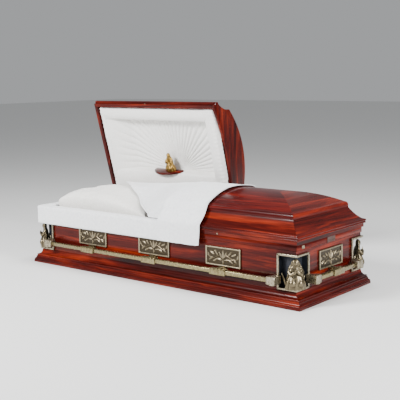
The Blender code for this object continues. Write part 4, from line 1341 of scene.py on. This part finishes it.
@dataclass
class Bedding:
    """Mattress, pillow, padded band, coverlet and overlay."""

    pillow_centre: Pair = (-0.7085, 0.0)
    pillow_size: Point = (0.527, 0.600, 0.190)
    pillow_top: float = 0.492
    pillow_low: float = 0.304
    pillow_slant: float = 1.45
    pillow_sink: float = 0.078
    band_top: float = 0.388
    band_bottom: float = 0.270
    band_thickness: float = 0.014
    band_inward: float = 0.052
    over_casting: float = 0.007
    clearance: float = 0.002
    cover_front_left: float = -0.064
    cover_back_left: float = -0.758
    cover_back: float = 0.200
    cover_edge: float = 0.325
    cover_rise: float = 0.112
    overlay_right: float = 0.384
    overlay_flap: float = 0.266
    overlay_back: float = 0.200

    def mattress(self) -> None:
        """The bed, with a piped edge and a soft crown."""
        bed = eased_copy("mattress", 0.018, 5)
        modify(bed, "SUBSURF", levels=1, render_levels=1)
        settle(bed, WARM_CLOTH, Body.BODY, Slot.LINING, ["mattress"])

    def pillow(self) -> None:
        """A full pillow, inflated as cloth from a flat case."""
        length, width, height = self.pillow_size
        all_off()
        bpy.ops.mesh.primitive_grid_add(x_subdivisions=36, y_subdivisions=34, size=1)
        pillow = bpy.context.object
        pillow.name = "pillow_finished"
        for vert in pillow.data.vertices:
            x, y = vert.co.x * 2, vert.co.y * 2
            pull = 1 - 0.05 * (1 - x * x) * abs(y) ** 3
            side = 1 - 0.06 * (1 - y * y) * abs(x) ** 3
            vert.co = (x * length / 2 * 0.98 * side, y * width / 2 * 0.93 * pull, 0.0)
        modify(pillow, "SOLIDIFY", thickness=0.030, offset=0.0)
        for vert in pillow.data.vertices:
            x, y = vert.co.x / (length / 2), vert.co.y / (width / 2)
            crown = max(0.0, (1 - abs(x) ** 3.2) * (1 - abs(y) ** 3.0)) ** 0.42
            vert.co.z += math.copysign(crown * height * 0.40, vert.co.z)
        self.inflate(pillow)
        modify(pillow, "SUBSURF", levels=2, render_levels=2)
        top = max(vert.co.z for vert in pillow.data.vertices)
        low = min(vert.co.z for vert in pillow.data.vertices)
        stretch = (self.pillow_top - self.pillow_low) / (top - low)
        for vert in pillow.data.vertices:
            x, y, share = vert.co.x, vert.co.y, (vert.co.z - low) / (top - low)
            rim = max(abs(x) / (length / 2), abs(y) / (width / 2)) ** 3
            fine = wrinkle((x, y, vert.co.z), 14.0, 0.004) + wrinkle((x, y, 0.3), 40.0, 0.0022) * rim
            if x > 0:
                x *= 1 + self.pillow_slant * (0.5 - y / width)
            sink = self.pillow_sink * max(0.0, x - 0.158) / 0.49
            vert.co = (x, y, (vert.co.z - top) * stretch - sink * share + fine)
        smooth(pillow, 80)
        place = Matrix.Translation((*self.pillow_centre, self.pillow_top))
        settle(pillow, WARM_CLOTH, Body.BODY, Slot.LINING, ["pillow"], place)
        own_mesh(pillow)

    @staticmethod
    def inflate(piece: bpy.types.Object) -> None:
        """Swell a closed case under pressure as cloth, and keep the swollen mesh."""
        only(piece)
        start = np.array([vert.co for vert in piece.data.vertices])
        cloth = piece.modifiers.new("cloth", "CLOTH")
        cloth.settings.quality = 6
        cloth.settings.use_pressure = True
        cloth.settings.uniform_pressure_force = 3.0
        cloth.settings.effector_weights.gravity = 0.0
        cloth.settings.tension_stiffness = 18
        cloth.settings.compression_stiffness = 12
        cloth.settings.bending_stiffness = 0.4
        scene = bpy.context.scene
        for step in range(1, INFLATE_STEPS + 1):
            scene.frame_set(step)
        bpy.ops.object.modifier_apply(modifier=cloth.name)
        scene.frame_set(1)
        for vert, first in zip(piece.data.vertices, start):
            move = vert.co - Vector(first)
            if move.length > SWELL_LIMIT:
                vert.co = Vector(first) + move.normalized() * SWELL_LIMIT

    def band_profile(self) -> list[Pair]:
        """Section of the padded band, out from the panel's face, down over the rail."""
        inner = S.rim_proud + self.over_casting + self.clearance
        outer = inner + self.band_thickness
        inward = S.rim_proud - self.band_inward
        under = S.split_z + self.clearance
        top = self.band_top
        points = [(inner, self.band_bottom + 0.002), (inner + 0.003, self.band_bottom),
                  (outer - 0.003, self.band_bottom), (outer, self.band_bottom + 0.003)]
        points += [(outer, z) for z in np.linspace(self.band_bottom + 0.014, top - 0.020, 7)]
        points += arc((outer - 0.012, top - 0.012), (0.012, 0.012), 0, 90, 5)
        points += [(x, top) for x in np.linspace(outer - 0.018, inward + 0.018, 5)]
        points += arc((inward + 0.012, top - 0.012), (0.012, 0.012), 90, 180, 5)
        return points + [(inward, under + 0.004), (inward + 0.004, under), (inner, under)]

    def band(self) -> None:
        """The padded band over the front and head-end rails."""
        profile = self.band_profile()
        x_end, y_end = -S.panel_x, -S.panel_y
        start_x = S.head_end - self.clearance
        back_y = S.panel_y - S.board - 0.030
        stations: list[tuple[Pair, Pair]] = []
        for x in np.linspace(start_x, x_end + 0.02, 66):
            stations.append(((x, y_end), (0.0, -1.0)))
        for angle in np.radians(np.linspace(10, 80, 6)):
            stations.append(((x_end, y_end), (-math.sin(angle), -math.cos(angle))))
        for y in np.linspace(y_end + 0.02, back_y, 34):
            stations.append(((x_end, y), (-1.0, 0.0)))
        face = S.rim_proud + self.over_casting + self.clearance + 0.004
        rings = []
        for (x, y), (ox, oy) in stations:
            ring = []
            for out, z in profile:
                spot = (x + ox * out, y + oy * out, z)
                if out <= 0:
                    spot = (max(spot[0], x_end - out), max(spot[1], y_end - out), z)
                grow = wrinkle((spot[0], spot[1], z * 0.6), 11.0, 0.0022) + wrinkle(spot, 45.0, 0.0007)
                high = z > self.band_top - 0.014
                if not high and out < face:
                    grow = 0.0
                ring.append((spot[0] + ox * grow, spot[1] + oy * grow, z + (grow * 0.6 if high else 0.0)))
            rings.append(ring)
        band = loft("extendover_finished", rings)
        smooth(band, 55)
        settle(band, BAND_CLOTH, Body.BODY, Slot.LINING, ["extendover"])
        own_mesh(band)

    @staticmethod
    def skin(standoff: float) -> list[Pair]:
        """Half section of the closed lid's outside, pushed out, from the band up to the ridge."""
        edge_top = S.lip_z + S.edge_rise
        points = [(S.lid_y + standoff, S.split_z), (S.lid_y + standoff, S.bead_top - 0.004),
                  (S.lid_y - 0.010, S.bead_top + 0.004 + standoff), (S.lid_y - 0.044, S.bead_top + 0.040 + standoff),
                  (S.crown_y + 0.003 + standoff, S.lip_z + 0.004),
                  (S.crown_y - 0.008 + standoff * 0.5, edge_top + standoff)]
        for t in np.linspace(1 / 6, 1, 6):
            points.append(((S.crown_y - S.edge_run) * (1 - t), edge_top + S.arch_rise * (1 - (1 - t) ** 2) + standoff))
        return points

    @staticmethod
    def along(path: Sequence[Pair], share: float) -> Pair:
        """The place at a share of a path's length, by a smooth curve through its points."""
        spots = np.array(path)
        steps = np.concatenate([[0.0], np.cumsum(np.hypot(*np.diff(spots, axis=0).T))])
        at = share * steps[-1]
        blur = 0.012
        offsets = np.linspace(-blur, blur, 5)
        ys = [np.interp(min(max(at + o, 0), steps[-1]), steps, spots[:, 0]) for o in offsets]
        zs = [np.interp(min(max(at + o, 0), steps[-1]), steps, spots[:, 1]) for o in offsets]
        return float(np.mean(ys)), float(np.mean(zs))

    def overlay(self) -> None:
        """The sheet laid over the foot lid's cut end."""
        half = self.skin(0.0055)
        path = [(-S.lid_y - 0.0055, self.overlay_flap)] + [(-y, z) for y, z in half]
        path += [(y, z) for y, z in reversed(half[:-1]) if 0 < y < self.overlay_back]
        left = S.foot_start - 0.001

        def point(s: float, t: float) -> Point:
            """A point of the laid cloth."""
            y, z = self.along(path, t)
            edge = self.overlay_right + 0.006 * math.sin(t * 9.0) - 0.010 * max(0.0, 0.25 - t)
            x = left + (edge - left) * s
            lift = 0.0030 * (1 + noise.noise(Vector((x * 9, t * 7, 1.0)))) + 0.006 * max(0.0, s - 0.93) / 0.07
            low = max(0.0, 0.10 - t) / 0.10
            return x, y - (lift * 0.8 + 0.004 * low * math.sin(s * 11.0) ** 2), z + lift

        sheet = sheet_grid("overlay_sheet_finished", 72, 150, point)
        self.make_sheet(sheet, Body.FOOT_LID, ["overlay_sheet"], ["foot_lid_crown_finished"])

    def coverlet(self) -> None:
        """The coverlet in the open half: low and slanted at the pillow, rising to the foot lid's crown."""
        right = S.head_end - 0.001
        front = self.band_top + 0.0045
        bed = self.band_top + self.clearance + 0.010
        half = [(y, z) for y, z in self.skin(0.0) if y < self.cover_edge and z > bed]
        path = [(-self.cover_edge - 0.004, front), (-self.cover_edge + 0.014, bed)] + [(-y, z) for y, z in half]
        path += [(y, z) for y, z in reversed(half[:-1]) if y < self.cover_back]

        def point(s: float, t: float) -> Point:
            """A point of the coverlet."""
            y, z = self.along(path, t)
            slant = (y + self.cover_edge) / (self.cover_back + self.cover_edge)
            left = self.cover_front_left + (self.cover_back_left - self.cover_front_left) * slant
            left += 0.012 * math.sin(t * 14.0) * bulge(t)
            x = left + (right - left) * s
            low = min(z, bed) + self.cover_rise * max(0.0, min(1.0, (y + self.cover_edge) / 0.375)) ** 1.3
            ease = s * s * (3 - 2 * s)
            lie = bulge(t, 6.0)
            fold = 0.006 * math.sin(s * 9.0 + t * 5.0) * (1 - ease) * lie
            roll = 0.007 * math.exp(-((s - 0.03) / 0.035) ** 2) * lie
            return x, y, low + (max(z, low) - low) * ease + fold + roll + wrinkle((x, y, 0.0), 12.0, 0.004) * lie

        sheet = sheet_grid("coverlet_finished", 110, 130, point)
        self.make_sheet(sheet, Body.BODY, ["coverlet"], ["pillow_finished", "extendover_finished"])
        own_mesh(sheet)

    @staticmethod
    def make_sheet(sheet: bpy.types.Object, body: Body, nodes: Sequence[str], rests_on: Sequence[str]) -> None:
        """Args:
            sheet: The open surface.
            body: Body that it rides on.
            nodes: Solids that it stands for.
            rests_on: What it lies on; not used.
        """
        modify(sheet, "SOLIDIFY", thickness=0.004, offset=0.0)
        smooth(sheet, 60)
        settle(sheet, BAND_CLOTH, body, Slot.LINING, nodes)

    def build(self) -> None:
        """Build all the bedding."""
        self.mattress()
        self.pillow()
        self.band()
        self.coverlet()
        self.overlay()


# Studio

@dataclass
class Studio:
    """Pale floor, soft lights and the photograph's camera."""

    camera_at: Point = (3.456, -4.136, 1.249)
    yaw: float = 39.22
    pitch: float = 8.3
    roll: float = -0.78
    lens: float = 77.2
    floor_half: float = 30.0

    def camera(self) -> None:
        """Set the camera at the photograph's place and turn."""
        yaw, pitch, roll = (math.radians(a) for a in (self.yaw, self.pitch, self.roll))
        ahead = Vector((-math.sin(yaw) * math.cos(pitch), math.cos(yaw) * math.cos(pitch), -math.sin(pitch)))
        right = ahead.cross(Vector((0, 0, 1))).normalized()
        up = right.cross(ahead)
        across = right * math.cos(roll) + up * math.sin(roll)
        rise = -right * math.sin(roll) + up * math.cos(roll)
        data = bpy.data.cameras.new("camera")
        data.lens, data.sensor_width, data.sensor_fit = self.lens, 36.0, "HORIZONTAL"
        data.clip_end = 200.0
        camera = bpy.data.objects.new("camera", data)
        bpy.context.scene.collection.objects.link(camera)
        turn = Matrix((across, rise, -ahead)).transposed().to_4x4()
        camera.matrix_world = Matrix.Translation(self.camera_at) @ turn
        bpy.context.scene.camera = camera

    def light(self, name: str, at: Point, size: float, power: float) -> None:
        """A large soft area light aimed at the casket.

        Args:
            name: Name of the light.
            at: Where it stands.
            size: Its side.
            power: Its power in watts.
        """
        data = bpy.data.lights.new(name, "AREA")
        data.size, data.energy = size, power
        lamp = bpy.data.objects.new(name, data)
        bpy.context.scene.collection.objects.link(lamp)
        lamp.location = at
        lamp.rotation_mode = "QUATERNION"
        lamp.rotation_quaternion = (Vector((0, 0, 0.35)) - Vector(at)).to_track_quat("-Z", "Y")

    def build(self) -> None:
        """Build floor, world, lights and camera."""
        all_off()
        bpy.ops.mesh.primitive_plane_add(size=2 * self.floor_half, location=(0, 0, -0.0005))
        floor = bpy.context.object
        floor.name = "studio_floor"
        nodes = new_material("studio_floor")
        nodes.shader.inputs["Base Color"].default_value = (0.78, 0.78, 0.77, 1.0)
        nodes.shader.inputs["Roughness"].default_value = 0.8
        floor.data.materials.append(nodes.material)
        world = bpy.data.worlds.new("studio")
        world.use_nodes = True
        world.node_tree.nodes["Background"].inputs["Color"].default_value = (0.92, 0.94, 0.96, 1.0)
        world.node_tree.nodes["Background"].inputs["Strength"].default_value = 0.42
        bpy.context.scene.world = world
        self.light("key", (-1.6, -4.6, 3.6), 1.5, 640.0)
        self.light("fill", (5.2, -0.6, 2.2), 1.5, 400.0)
        self.light("top", (0.4, 0.6, 4.2), 1.6, 110.0)
        self.camera()


def main() -> None:
    """Build the looks in order."""
    logging.basicConfig(level=logging.INFO, format="%(name)s %(message)s")
    Studio().build()
    WoodenBody().build()
    Lid("head", Body.HEAD_LID, OPENED, foot=False).build()
    Lid("foot", Body.FOOT_LID, CLOSED, foot=True).build()
    CornerCasting().build()
    Plaques().build()
    Bars().build()
    SmallTrim().build()
    ShelfAndStatuette().build()
    edge = S.lid_member + 0.003
    LidLining("head", Body.HEAD_LID, OPENED, -S.lid_x + edge, S.head_end - S.bulkhead - 0.003).build()
    LidLining("foot", Body.FOOT_LID, CLOSED, S.foot_start + S.bulkhead + 0.003, S.lid_x - edge, rays=0,
              head_border=0.092, head_slope=0.026).build()
    Bedding().build()


if __name__ == "__main__":
    main()
